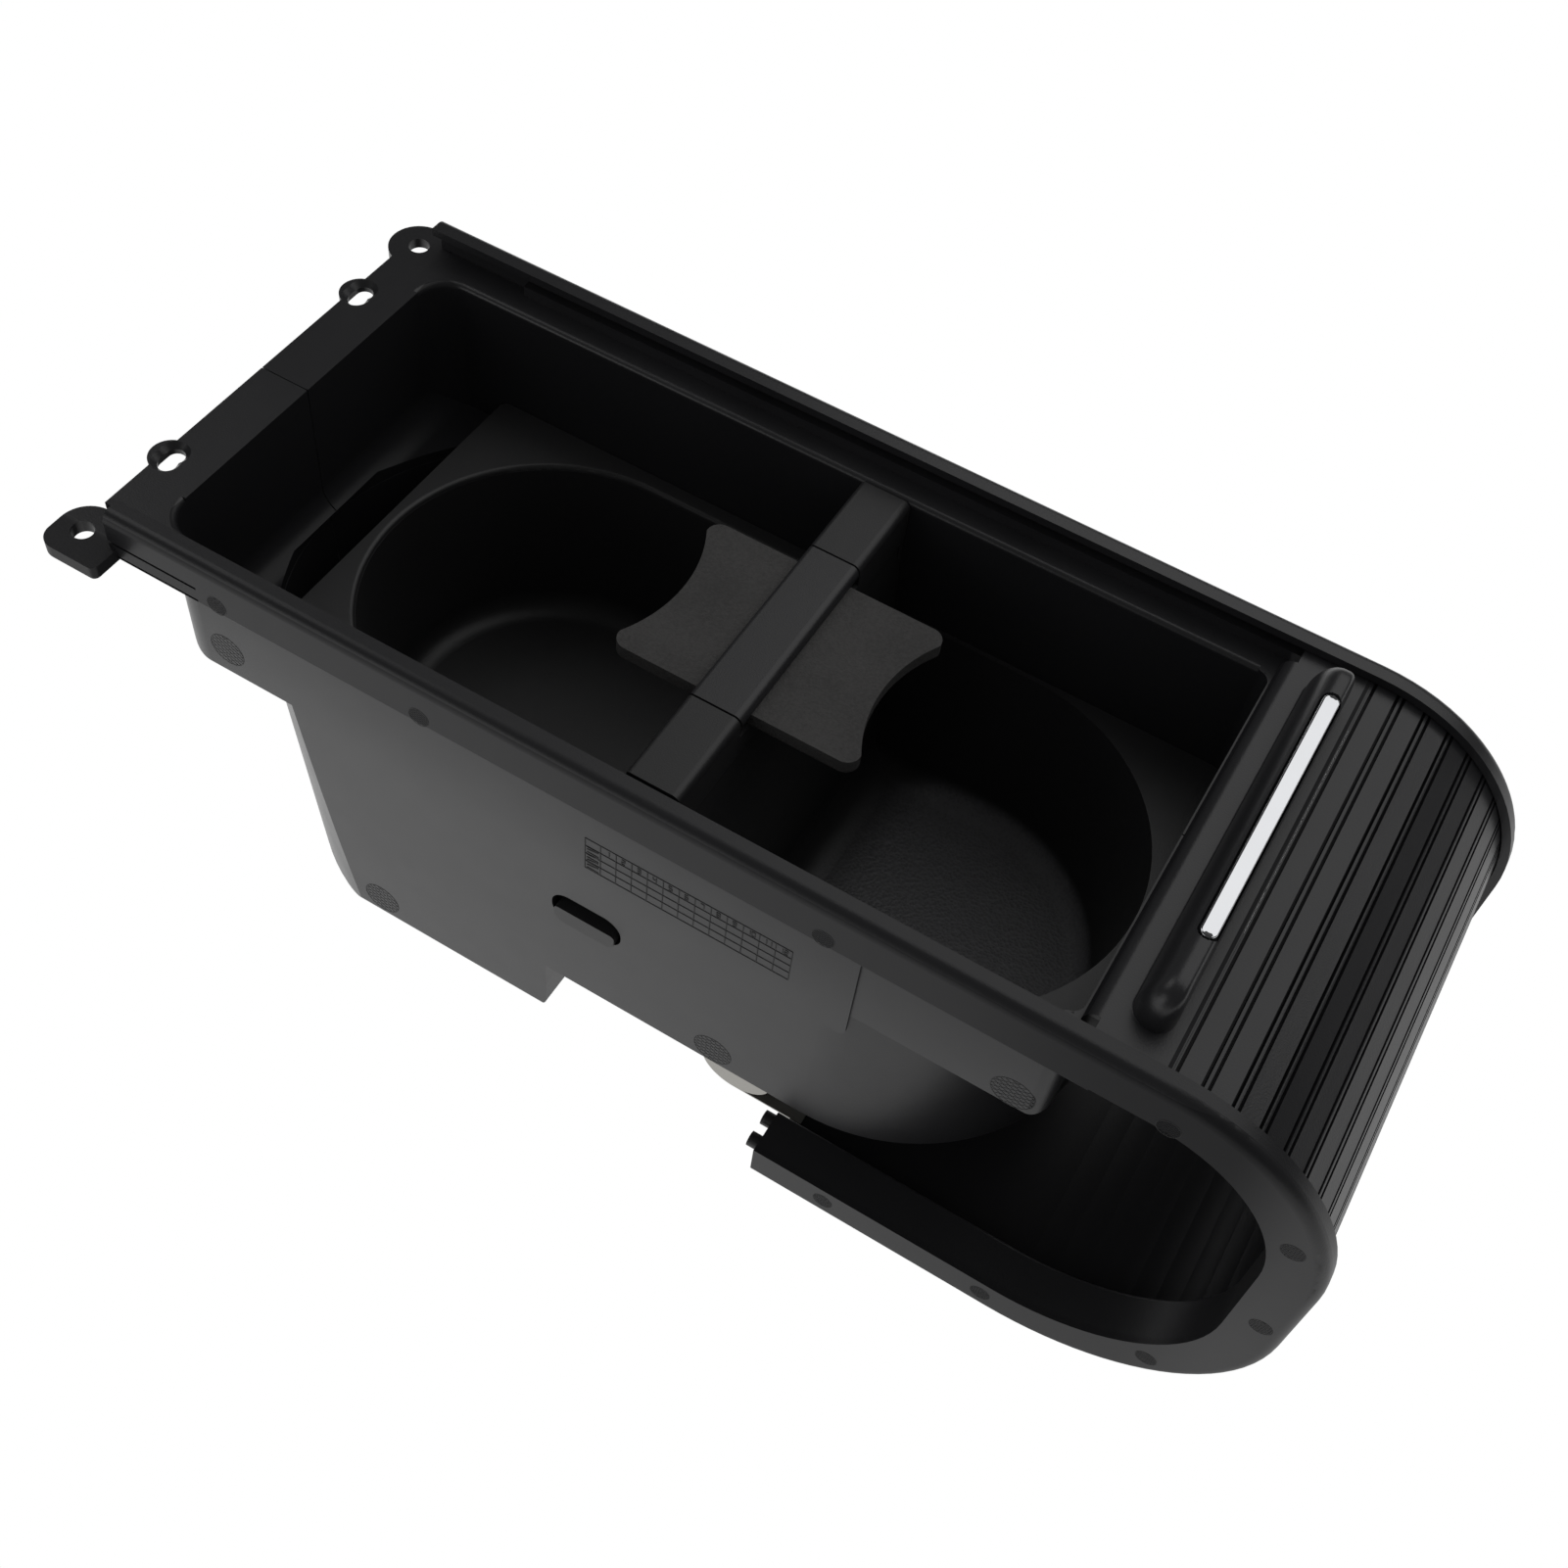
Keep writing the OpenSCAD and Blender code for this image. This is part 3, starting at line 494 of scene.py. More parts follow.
class Builder:
    """Collects surfaces, boxes and bars into one mesh, in millimetres from the rail ends."""

    def __init__(self) -> None:
        """Starts with no points."""
        self.points: list[np.ndarray] = []
        self.faces: list[np.ndarray] = []
        self.count = 0

    def add(self, points: np.ndarray, faces: np.ndarray) -> None:
        """Adds points with faces that count from 0."""
        self.points.append(points)
        self.faces.append(np.asarray(faces) + self.count)
        self.count += len(points)

    def box(self, low: Sequence[float], high: Sequence[float]) -> None:
        """Adds a box with outward faces.

        Args:
            low: its corner with the least values.
            high: its corner with the greatest values.
        """
        x, y, z = np.meshgrid([low[0], high[0]], [low[1], high[1]], [low[2], high[2]], indexing="ij")
        corners = np.stack([x.ravel(), y.ravel(), z.ravel()], axis=1)
        quads = [[0, 1, 3, 2], [4, 6, 7, 5], [0, 4, 5, 1], [2, 3, 7, 6], [0, 2, 6, 4], [1, 5, 7, 3]]
        self.add(corners, np.array(quads))

    def bar(self, a: Sequence[float], b: Sequence[float], width: float, y: float, lift: float) -> None:
        """Adds a thin bar on a wall that faces -Y. Its back, on the wall, stays open.

        Args:
            a: one end, as X and Z.
            b: the other end.
            width: its width along the wall.
            y: the wall's place.
            lift: how far it stands off the wall.
        """
        start, end = np.array(a, float), np.array(b, float)
        along = (end - start) / np.linalg.norm(end - start)
        side = np.array([-along[1], along[0]]) * width / 2
        ends = [start - side, end - side, end + side, start + side]
        front = [[x, y - lift, z] for x, z in ends]
        back = [[x, y, z] for x, z in ends]
        quads = [[0, 1, 2, 3], [0, 4, 5, 1], [1, 5, 6, 2], [2, 6, 7, 3], [3, 7, 4, 0]]
        self.add(np.array(front + back), np.array(quads))

    def make(self, name: str, smooth: bool = False) -> bpy.types.Object:
        """Makes the object from all that was added."""
        faces = [face for block in self.faces for face in block]
        return add_mesh(name, p_frame(np.concatenate(self.points)), faces, smooth)


@dataclass(frozen=True)
class Camera:
    """The photo's camera: its place in metres, its turn as a quaternion, and its lens."""

    place: Triple = (0.2452493, -0.2386175, 0.3081348)
    turn: tuple[float, float, float, float] = (0.91486242, 0.30502262, 0.03892105, 0.26167365)
    lens: float = 43.4716
    sensor: float = 36.0
    near: float = 0.01
    far: float = 20.0

    def build(self) -> None:
        """Adds the camera and makes it the scene's own."""
        data = bpy.data.cameras.new("camera")
        data.lens = self.lens
        data.sensor_width = self.sensor
        data.clip_start = self.near
        data.clip_end = self.far
        cam = bpy.data.objects.new("camera", data)
        cam.location = self.place
        cam.rotation_mode = "QUATERNION"
        cam.rotation_quaternion = Quaternion(self.turn)
        bpy.context.scene.collection.objects.link(cam)
        bpy.context.scene.camera = cam


@dataclass(frozen=True)
class Lamp:
    """One soft box: where it stands, what it looks at, its size in metres and power in watts."""

    name: str
    place: Triple
    aim: Triple
    size: Pair
    power: float

    def build(self) -> None:
        """Adds the lamp, which the camera doesn't see."""
        data = bpy.data.lights.new(self.name, "AREA")
        data.shape = "RECTANGLE"
        data.size, data.size_y = self.size
        data.energy = self.power
        obj = bpy.data.objects.new(self.name, data)
        obj.visible_camera = False
        obj.location = self.place
        obj.rotation_mode = "QUATERNION"
        obj.rotation_quaternion = (Vector(self.aim) - Vector(self.place)).to_track_quat("-Z", "Y")
        bpy.context.scene.collection.objects.link(obj)


@dataclass(frozen=True)
class Lights:
    """A white table below, a dim room above, and soft boxes.

    The world's direction decides what a reflection sees: the table below the horizon, darker
    straight down, where the object shades it, and a little darker toward +X.
    """

    diffuse: float = 0.62
    room: float = 0.04
    shade: float = 0.55
    horizon: Pair = (-0.12, 0.06)
    shaded: Pair = (-1.0, -0.8)
    right_loss: float = 0.3
    right: Pair = (-0.35, 0.05)
    lamps: tuple[Lamp, ...] = (
        Lamp("top_box", (0.42, 0.7, 1.0), (0.2, 0.0, 0.0), (1.5, 1.3), 5.5),
        Lamp("left_box", (-0.72, 0.1, 0.9), (0.05, 0.0, 0.0), (0.6, 0.6), 1.3),
        Lamp("front_box", (-0.5, -1.1, 0.3), (0.14, 0.0, -0.03), (0.8, 0.6), 1.6),
    )

    def table(self, along: Sock, up: Sock) -> Sock:
        """How bright the table is in a reflection.

        Args:
            along: the direction's X.
            up: the direction's Z.

        Returns:
            The brightness, from 0 above the horizon to 1.
        """
        seen = 1.0 - up.ramp(*self.horizon)
        seen = seen * (self.shade + (1.0 - self.shade) * up.ramp(*self.shaded))
        return seen * (1.0 - self.right_loss * along.ramp(*self.right))

    def build(self) -> None:
        """Lights the object. The camera sees plain white, and reflections see it below."""
        world = bpy.data.worlds.new("studio")
        bpy.context.scene.world = world
        world.use_nodes = True
        tree = world.node_tree
        back = tree.nodes["Background"]
        path = tree.nodes.new("ShaderNodeLightPath")
        split = tree.nodes.new("ShaderNodeSeparateXYZ")
        tree.links.new(tree.nodes.new("ShaderNodeTexCoord").outputs["Generated"], split.inputs[0])
        along, _, up = (Sock(tree, out) for out in split.outputs)
        camera, glossy, passing = (
            Sock(tree, path.outputs[f"Is {kind} Ray"]) for kind in ("Camera", "Glossy", "Transmission"))
        mirror = (glossy + passing).clamp()
        reflected = self.room + (1.0 - self.room) * self.table(along, up)
        other = mirror * reflected + (1.0 - mirror) * self.diffuse
        strength = camera + (1.0 - camera) * other
        tree.links.new(strength.out, back.inputs["Strength"])
        back.inputs["Color"].default_value = (1, 1, 1, 1)
        for lamp in self.lamps:
            lamp.build()
        log.info("lights: %d soft boxes", len(self.lamps))


@dataclass(frozen=True)
class WellFloor:
    """The coarse grain of wear on the floor of the right well only, in a pale tone that is partly
    painted light; places in metres.
    """

    centre_x: float = 0.1814
    height: Pair = (-0.080, -0.0855)
    left: Pair = (0.150, 0.170)
    edge: Pair = (0.0019, 0.0024)

    def mask(self, s: Shader) -> Sock:
        """Low in the well, right of the rise, and within the square of a radius."""
        across = s.x - self.centre_x
        square = across * across + s.y * s.y
        low = s.z.ramp(*self.height)
        right = s.x.ramp(*self.left)
        return (low * right * (1.0 - square.ramp(*self.edge))).clamp()


@dataclass(frozen=True)
class ShellGloss:
    """Painted shade on the shell's halves, a darker surface that hardly reflects: inner faces, near
    rail's face, wall under it.

    Places are in metres. A Pair gives the two ends of a smooth change, but tray_x bounds the tray.
    The other values, such as inner, rail and wall, are shares from 0 for the plain gloss to 1 for full
    painted shade.
    """

    tray_half: float = 0.0495
    tray_low: float = -0.0386
    left_x: float = 0.05
    left_low: float = -0.075
    tray_x: Pair = (0.0105, 0.2312)
    middle_x: float = 0.12
    inner: float = 0.6
    rail_y: Pair = (0.0575, 0.0592)
    rail_top: float = 0.0068
    rail: float = 0.55
    rail_rise: float = 0.2
    rail_rise_x: Pair = (0.2, 0.25)
    loop_loss: float = 0.6
    loop_depth: Pair = (0.02, 0.07)
    bend_loss: float = 0.8
    bend_x: Pair = (0.266, 0.288)
    wall_y: Pair = (0.0498, 0.0508)
    wall_z: Pair = (-0.05, -0.012)
    wall: float = 0.24
    face_seen: float = 0.05

    def tray(self, s: Shader) -> Sock:
        """The tray's inner faces, whose normals point to the middle of the tray, for painted shade."""
        inside = (self.tray_half - s.y.magnitude()) > 0.0
        above = ((s.z > self.tray_low) + (s.x < self.left_x) * (s.z > self.left_low)).clamp()
        nx, ny, nz = s.parts(s.node("ShaderNodeNewGeometry").outputs["Normal"])
        inward = ((self.middle_x - s.x) * nx - s.y * ny - s.z * nz) > 0.0
        return inside * above * inward * (s.x > self.tray_x[0]) * (s.x < self.tray_x[1])

    def rail_face(self, s: Shader) -> Sock:
        """Painted shade on the outer face of the near rail, less so down the loop and round the bend.
        """
        face = (0.0 - s.y).ramp(*self.rail_y) * (s.z < self.rail_top)
        face = face * (self.rail + self.rail_rise * s.x.ramp(*self.rail_rise_x))
        face = face * (1.0 - self.loop_loss * (0.0 - s.z).ramp(*self.loop_depth))
        return face * (1.0 - self.bend_loss * s.x.ramp(*self.bend_x))

    def mask(self, s: Shader) -> Sock:
        """All the painted shade, with the near wall's share growing toward the rail."""
        face = self.rail_face(s)
        wall = (0.0 - s.y).ramp(*self.wall_y) * (1.0 - face.ramp(0.0, self.face_seen))
        return self.tray(s) * self.inner + face + wall * s.z.ramp(*self.wall_z) * self.wall


@dataclass(frozen=True)
class Slats:
    """Where the slats and their double joints lie along the track, in metres.

    The run goes straight, round the upper bend, down, round the lower bend and back. A bend
    is given by the X and Z of its centre and by its outer radius.
    """

    start: float = 0.2503
    pitch: float = 0.0069
    top: Triple = (0.251, -0.036, 0.044)
    low: Triple = (0.239, -0.062, 0.056)
    mean_r: float = 0.05
    outer_top: float = 0.008
    thick: float = 0.0037
    # A joint's groove lies between these distances from the edge of its slat.
    groove: Pair = (0.00033, 0.00112)
    # Shares of painted shade in the joints' grooves and on the whole inner face.
    groove_dull: float = 0.85
    inner_dull: float = 0.6
    lead: float = 0.0012

    def zones(self, s: Shader) -> tuple[Sock, Sock, Sock, Sock, Sock]:
        """Splits the track into its stretches.

        Args:
            s: the shader that the masks go into.

        Returns:
            Masks of the part over the upper bend's centre, between the two centres and under
            the lower one, then of the part past the upper centre and past the lower one.
        """
        high = s.z > self.top[1]
        deep = s.z < self.low[1]
        mid = (1.0 - high) * (1.0 - deep)
        return high, mid, deep, s.x > self.top[0], s.x > self.low[0]

    def run(self, s: Shader) -> Sock:
        """Length along the track: X, then radius times angle, then a drop, and so on."""
        tx, tz, tr = self.top
        lx, lz, lr = self.low
        high, mid, deep, past, right = self.zones(s)
        quarter = math.pi / 2
        end = tx + tr * quarter
        turn = end + (tz - lz)
        upper = past * (tx + tr * (s.x - tx).angle(s.z - tz)) + (1.0 - past) * s.x
        lower = turn + lr * (lz - s.z).angle(s.x - lx)
        back = turn + lr * quarter + (lx - s.x)
        return high * upper + mid * (end + tz - s.z) + deep * (right * lower + (1.0 - right) * back)

    def offset(self, s: Shader) -> Sock:
        """Distance from the middle of the slat."""
        turns = (self.run(s) - self.start) / self.pitch
        return (turns - turns.floor() - 0.5) * self.pitch

    def facets(self, s: Shader) -> Sock:
        """The relief that makes each slat flat on the bends: the square of the offset over 2 r."""
        off = self.offset(s)
        high, _, deep, past, right = self.zones(s)
        bent = (high * past + deep * right).clamp()
        return off * off * bent * (0.5 / self.mean_r)

    def depth(self, s: Shader) -> Sock:
        """Depth below the outer face of the track."""
        tx, tz, tr = self.top
        lx, lz, lr = self.low
        high, mid, deep, past, right = self.zones(s)
        upper = past * (tr - (s.x - tx).length(s.z - tz)) + (1.0 - past) * (self.outer_top - s.z)
        lower = right * (lr - (s.x - lx).length(s.z - lz)) + (1.0 - right) * (s.z - lz + lr)
        return high * upper + mid * (tx + tr - s.x) + deep * lower

    def joints(self, s: Shader) -> Sock:
        """The two grooves of each joint: a band of distances from the slat's edge."""
        edge = self.pitch / 2 - self.offset(s).magnitude()
        near, far = self.groove
        return (edge > near) * (edge < far) * (s.x > self.start - self.lead)

    def dull(self, s: Shader) -> Sock:
        """Painted shade in the joints' grooves on the outer face, and on the whole inner face."""
        inner = self.depth(s) > self.thick
        return self.joints(s) * self.groove_dull * (1.0 - inner) + inner * self.inner_dull


@dataclass
class Finishes:
    """Every CAD node's material, and the fine bevel of those that need one."""

    shell: Plastic = Plastic("satin_shell", (0.0105, 0.0105, 0.0115), 0.34)
    insert: Plastic = Plastic("grained_insert", (0.009, 0.009, 0.0095), 0.42)
    blind: Plastic = Plastic("satin_blind", (0.0105, 0.0105, 0.0115), 0.33)
    cap: Plastic = Plastic("satin_cap", (0.0105, 0.0105, 0.0115), 0.36)
    # The darker finish of the date grid's lines and of the pads' rings, which are painted shade at the
    # pads' edges.
    lines: Plastic = Plastic("grid_lines_and_pad_shade", (0.004, 0.004, 0.004), 0.6)
    foam: Foam = Foam("grey_foam", (0.027, 0.0262, 0.0258))
    trim: Metal = Metal("bright_trim", (0.86, 0.87, 0.89), 0.06, streak=0.03, depth=0.000001)
    spring: Metal = Metal("strip_steel", (0.46, 0.45, 0.42), 0.42)
    pin: Metal = Metal("turned_steel", (0.5, 0.5, 0.52), 0.34)
    bevel_steps: int = 3
    bevel_angle: float = 35.0
    made: dict[Slot, bpy.types.Material] = field(default_factory=dict)

    def make(self) -> None:
        """Makes the material of each slot."""
        slats = Slats()
        self.made = {
            Slot.SHELL: self.shell.build(dull=ShellGloss().mask),
            Slot.INSERT: self.insert.build(more=WellFloor().mask),
            Slot.BLIND: self.blind.build(dull=slats.dull, form=slats.facets),
            Slot.PAD: self.foam.build(),
            Slot.TRIM: self.trim.build(),
            Slot.SPRING: self.spring.build(),
            Slot.PIN: self.pin.build(),
        }

    def build(self, nodes: dict[str, bpy.types.Object]) -> None:
        """Dresses each CAD node.

        Args:
            nodes: the frame's nodes by name.
        """
        self.make()
        owner = {
            "side_near": Slot.SHELL, "side_far": Slot.SHELL, "cup_insert": Slot.INSERT,
            "divider_cap": Slot.SHELL, "grip_pad": Slot.PAD, "slat_blind": Slot.BLIND,
            "lid_leaf": Slot.BLIND, "chrome_strip": Slot.TRIM, "coil_spring": Slot.SPRING,
            "spring_pin": Slot.PIN, "track_studs": Slot.SHELL, "base_screws": Slot.PIN,
        }
        for name, slot in owner.items():
            node = nodes[name]
            node.data.materials.clear()
            node.data.materials.append(self.cap.build() if name == "divider_cap" else self.made[slot])
            log.info("%s: %s", name, slot.value)
        for name, width in {"grip_pad": 0.5, "divider_cap": 0.35}.items():
            self.soften(nodes[name], width)

    def soften(self, node: bpy.types.Object, width: float) -> None:
        """Rounds a node's sharp edges.

        Args:
            node: the object.
            width: the bevel's width in millimetres.
        """
        soft = node.modifiers.new("soft_edge", "BEVEL")
        soft.width = width * MM
        soft.segments = self.bevel_steps
        soft.limit_method = "ANGLE"
        soft.angle_limit = math.radians(self.bevel_angle)


@dataclass(frozen=True)
class BlindRun:
    """The slats between the leaf and the bend when the lid is shut, in millimetres.

    The packing is the inverse of the blend's smooth step, so that the slats come out
    even.
    """

    start_x: float = 243.7
    end_x: float = 244.25
    travel: float = 218.0
    half_w: float = 52.6
    top: float = -2.45
    thick: float = 2.2
    pitch: float = 6.9
    slit: float = 0.7
    slit_depth: float = 1.0
    slit_lean: float = 0.05
    last_gap: float = 2.0

    def outline(self) -> tuple[np.ndarray, np.ndarray]:
        """The upper outline of the spread run.

        Each joint is two slits side by side, and each slit a trapezium with leaning sides.

        Returns:
            Lengths along the run, and the depth of the surface at each.
        """
        joints = np.arange(self.pitch, self.travel - self.last_gap, self.pitch)
        slits = (joints[:, None] + self.slit * np.array([-1, 1])).reshape(-1, 1)
        half = self.slit / 2
        rims = slits + np.array([-half, self.slit_lean - half, half - self.slit_lean, half])
        depths = np.tile([0.0, self.slit_depth, self.slit_depth, 0.0], len(slits))
        return np.r_[0.0, rims.ravel(), self.travel], np.r_[0.0, depths, 0.0]

    def packed(self, along: np.ndarray) -> np.ndarray:
        """X at rest of a length along the run.

        The smooth step is w = t*t*(3 - 2*t), and its inverse is t = 1/2 - sin(asin(1 - 2*w)/3).
        """
        w = along / self.travel
        t = 0.5 - np.sin(np.arcsin(np.clip(1 - 2 * w, -1, 1)) / 3)
        return self.start_x + t * (self.end_x - self.start_x)

    def build(self, material: bpy.types.Material) -> None:
        """Makes the run as a closed slab, its slats packed at rest between start_x and end_x.

        Args:
            material: the slats' finish.
        """
        along, depths = self.outline()
        x = self.packed(along)
        sides = np.array([-self.half_w, self.half_w])
        y, z = np.tile(sides, len(x)), np.repeat(self.top - depths, 2)
        upper = np.stack([np.repeat(x, 2), y, z], axis=1)
        lower = upper.copy()
        lower[:, 2] = self.top - self.thick
        n = len(upper)
        a = 2 * np.arange(len(x) - 1)
        skin = grid_faces(len(x), 2)
        near = np.stack([a, a + n, a + n + 2, a + 2], axis=1)
        far = np.stack([a + 1, a + 3, a + n + 3, a + n + 1], axis=1)
        ends = [[0, 1, n + 1, n], [n - 2, 2 * n - 2, 2 * n - 1, n - 1]]
        faces = np.concatenate([skin, skin[:, ::-1] + n, ends, near, far])
        run = add_mesh("blind_run", p_frame(np.concatenate([upper, lower])), faces, smooth=False)
        run.data.materials.append(material)
        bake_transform(run)


@dataclass(frozen=True)
class Lid:
    """The leading leaf with its grip bar and the bright strip, in millimetres from the rail ends.

    The leaf's front edge is a quarter ellipse. The bar's section rises as an ellipse on the
    left and as a squarer curve on the right, and its ends close as domes. Its X is measured
    from the apex and its Z from the leaf's top.
    """

    front: float = 225.3
    back: float = 244.25
    top: float = -2.3
    thick: float = 2.6
    nose_h: float = 5.2
    nose_len: float = 3.3
    nose_foot: float = 1.2
    foot_back: float = 1.0
    front_half: float = 50.8
    apex: float = 238.2
    left: float = 5.8
    right: float = 2.85
    height: float = 10.9
    fillet: float = 0.4
    left_power: float = 2.0
    right_power: float = 4.5
    crown: Pair = (-1.9, 2.35)
    crown_step: float = 0.11
    west_end: float = 2.0
    east_start: float = 2.4
    bar_half: float = 48.6
    plan_r: float = 4.6
    plan_power: float = 2.0
    dome_r: float = 7.5
    dome_power: float = 2.6
    dome_end: float = 1.5
    taper_x: float = 0.9
    row_step: float = 0.24
    strip_mid: Pair = (238.45, 2.6)
    strip_half: Pair = (1.75, 34.0)
    # The inset from the outline and the Z of each ring of the strip, from its foot to its crown.
    strip_rings: tuple[Pair, ...] = (
        (0.0, 7.7), (0.0, 8.3), (0.06, 8.42), (0.16, 8.5), (0.5, 8.56), (1.0, 8.6), (1.7, 8.61))
    groove_depth: float = 1.3
    groove_mid: float = 0.15
    groove_half: float = 0.3
    groove_above: float = 5.0
    nose_points: int = 24
    fillet_points: int = 9
    rise_points: int = 22
    fall_points: int = 12
    dome_points: int = 26
    round_points: int = 49
    leaf_sharp: float = 42.0
    strip_sharp: float = 50.0

    def leaf(self, b: Builder, half_w: float) -> None:
        """Adds the flat leaf and its front edge, a prism along Y over a quarter ellipse.

        Args:
            b: takes the faces.
            half_w: half the width of the flat leaf.
        """
        t = np.linspace(0, math.pi / 2, self.nose_points)
        drop = self.nose_h - self.nose_foot
        step = self.front + self.nose_len
        curve = np.stack([step - self.nose_len * np.cos(t), self.top - drop * (1 - np.sin(t))], axis=1)
        under = self.top - self.nose_h
        ring = np.concatenate([curve, [[step, under], [self.front + self.foot_back, under]]])
        n = len(ring)
        near = np.stack([ring[:, 0], np.full(n, -self.front_half), ring[:, 1]], axis=1)
        far = near * [1, -1, 1]
        b.add(np.concatenate([near, far]), tube_faces(2, n))
        k = np.arange(1, n - 1)
        b.add(near, np.stack([np.zeros_like(k), k + 1, k], axis=1))
        b.add(far, np.stack([np.zeros_like(k), k, k + 1], axis=1))
        b.box((step, -half_w, self.top - self.thick), (self.back, half_w, self.top))

    def section(self) -> tuple[np.ndarray, np.ndarray]:
        """The bar's section: a fillet, an ellipse up, the crown in even steps, a squarer fall.

        Returns:
            Across and up, from the left base over the top to the right base.
        """
        t = np.linspace(0, math.pi / 2, self.fillet_points)[:-1]
        r = self.fillet
        fillet = np.stack([-self.left - r + r * np.sin(t), r * (1 - np.cos(t))], axis=1)
        foot, west_end = math.asin(r / self.height), math.acos(self.west_end / self.left)
        rise = np.linspace(foot, west_end, self.rise_points)
        west = np.stack([-self.left * np.cos(rise), self.height * np.sin(rise)], axis=1)
        x = np.arange(*self.crown, self.crown_step)
        left = superellipse(x, self.left, self.left_power)
        right = superellipse(x, self.right, self.right_power)
        crown = np.stack([x, self.height * np.where(x < 0, left, right)], axis=1)
        fall = np.linspace(math.asin(self.east_start / self.right), math.pi / 2, self.fall_points)
        x = self.right * np.sin(fall)
        east = np.stack([x, self.height * superellipse(x, self.right, self.right_power)], axis=1)
        points = np.concatenate([fillet, west, crown, east])
        return points[:, 0], points[:, 1]

    def outside(self, x: np.ndarray, y: np.ndarray) -> np.ndarray:
        """Distance outside the strip's outline in plan, a bar with round ends."""
        half, long = self.strip_half
        beyond = np.maximum(np.abs(y - self.strip_mid[1]) - (long - half), 0)
        return np.hypot(x - self.strip_mid[0], beyond) - half

    def rows(self) -> np.ndarray:
        """Y of the bar's rows: even steps, and finer ones round the domes."""
        flat = self.bar_half - self.dome_r
        turn = np.linspace(0, self.dome_end, self.dome_points)
        ends = self.bar_half - self.dome_r * (1 - np.sin(turn))
        return np.concatenate([-ends[::-1], np.arange(-flat, flat, self.row_step)[1:], ends])

    def closing(self, y: np.ndarray, radius: float, power: float) -> np.ndarray:
        """Share of the section left at y: 1 up to a radius from the bar's end, and 0 at the end."""
        beyond = np.maximum(np.abs(y) - (self.bar_half - radius), 0)
        return superellipse(beyond, radius, power)

    def bar(self, b: Builder) -> None:
        """Adds the grip bar, with the groove round the strip.

        The section is carried along Y. Its width shrinks as an ellipse and its height as a
        squarer curve toward the ends.

        Args:
            b: takes the faces.
        """
        across, up = self.section()
        y = self.rows()
        plan = self.closing(y, self.plan_r, self.plan_power)
        dome = self.closing(y, self.dome_r, self.dome_power)
        grid_x = self.apex - self.taper_x + (across[None, :] + self.taper_x) * plan[:, None]
        grid_z = self.top + up[None, :] * dome[:, None]
        grid_y = np.repeat(y[:, None], len(across), axis=1)
        away = np.abs(self.outside(grid_x, grid_y) - self.groove_mid)
        grid_z = grid_z - self.groove_depth * (away < self.groove_half) * (grid_z > self.groove_above)
        points = np.stack([grid_x, grid_y, grid_z], axis=2).reshape(-1, 3)
        cols = len(across)
        first = np.arange(len(y) - 1) * cols
        foot = np.stack([first, first + cols, first + 2 * cols - 1, first + cols - 1], axis=1)
        b.add(points, np.concatenate([grid_faces(len(y), cols)[:, ::-1], foot]))
        rim = np.arange(cols)
        b.add(points[:cols], rim[None, ::-1])
        b.add(points[-cols:], rim[None, :])

    def strip(self) -> bpy.types.Object:
        """The bright strip: rings of its outline, drawn in by an inset, from the foot to a crown."""
        half, long = self.strip_half
        t = np.linspace(0, 2 * math.pi, self.round_points)[:-1]
        start = np.where(np.sin(t) >= 0, 1, -1) * (long - half)
        inset, z = (np.array(column)[:, None] for column in zip(*self.strip_rings))
        x = self.strip_mid[0] + (half - inset) * np.cos(t)
        y = self.strip_mid[1] + start + (half - inset) * np.sin(t)
        points = np.stack([x, y, z + np.zeros(len(t))], axis=2).reshape(-1, 3)
        rings, n = len(self.strip_rings), len(t)
        rim = np.arange(n)
        faces = [*tube_faces(rings, n), (rings - 1) * n + rim, rim[::-1]]
        return add_mesh("lid_strip", p_frame(points), faces)

    def build(self, nodes: dict[str, bpy.types.Object], plastic: bpy.types.Material,
              bright: bpy.types.Material) -> None:
        """Puts the lid's own meshes in place of its two solids.

        Args:
            nodes: the frame's nodes by name.
            plastic: the leaf's finish.
            bright: the strip's finish.
        """
        b = Builder()
        self.leaf(b, max(v.co.y for v in nodes["lid_leaf"].data.vertices) / MM)
        self.bar(b)
        leaf = b.make("lid_leaf_and_bar", smooth=True)
        leaf.data.set_sharp_from_angle(angle=math.radians(self.leaf_sharp))
        strip = self.strip()
        strip.data.set_sharp_from_angle(angle=math.radians(self.strip_sharp))
        for made, node, material, slot in (
                (leaf, "lid_leaf", plastic, Slot.BLIND), (strip, "chrome_strip", bright, Slot.TRIM)):
            made.data.materials.append(material)
            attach(made, Body.LID.value)
            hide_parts(node)


# The strokes of each figure: a to f run round it from the top, and g crosses the middle. Their
# ends are counted in half heights of the figure.
FIGURES = {
    "0": "abcdef", "1": "bc", "2": "abged", "3": "abgcd", "4": "fgbc", "5": "afgcd",
    "6": "afgedc", "7": "abc", "8": "abcdefg", "9": "abcdfg",
}
STROKES = {
    "a": ((0, 2), (1, 2)), "b": ((1, 2), (1, 1)), "c": ((1, 1), (1, 0)), "d": ((0, 0), (1, 0)),
    "e": ((0, 1), (0, 0)), "f": ((0, 2), (0, 1)), "g": ((0, 1), (1, 1)),
}


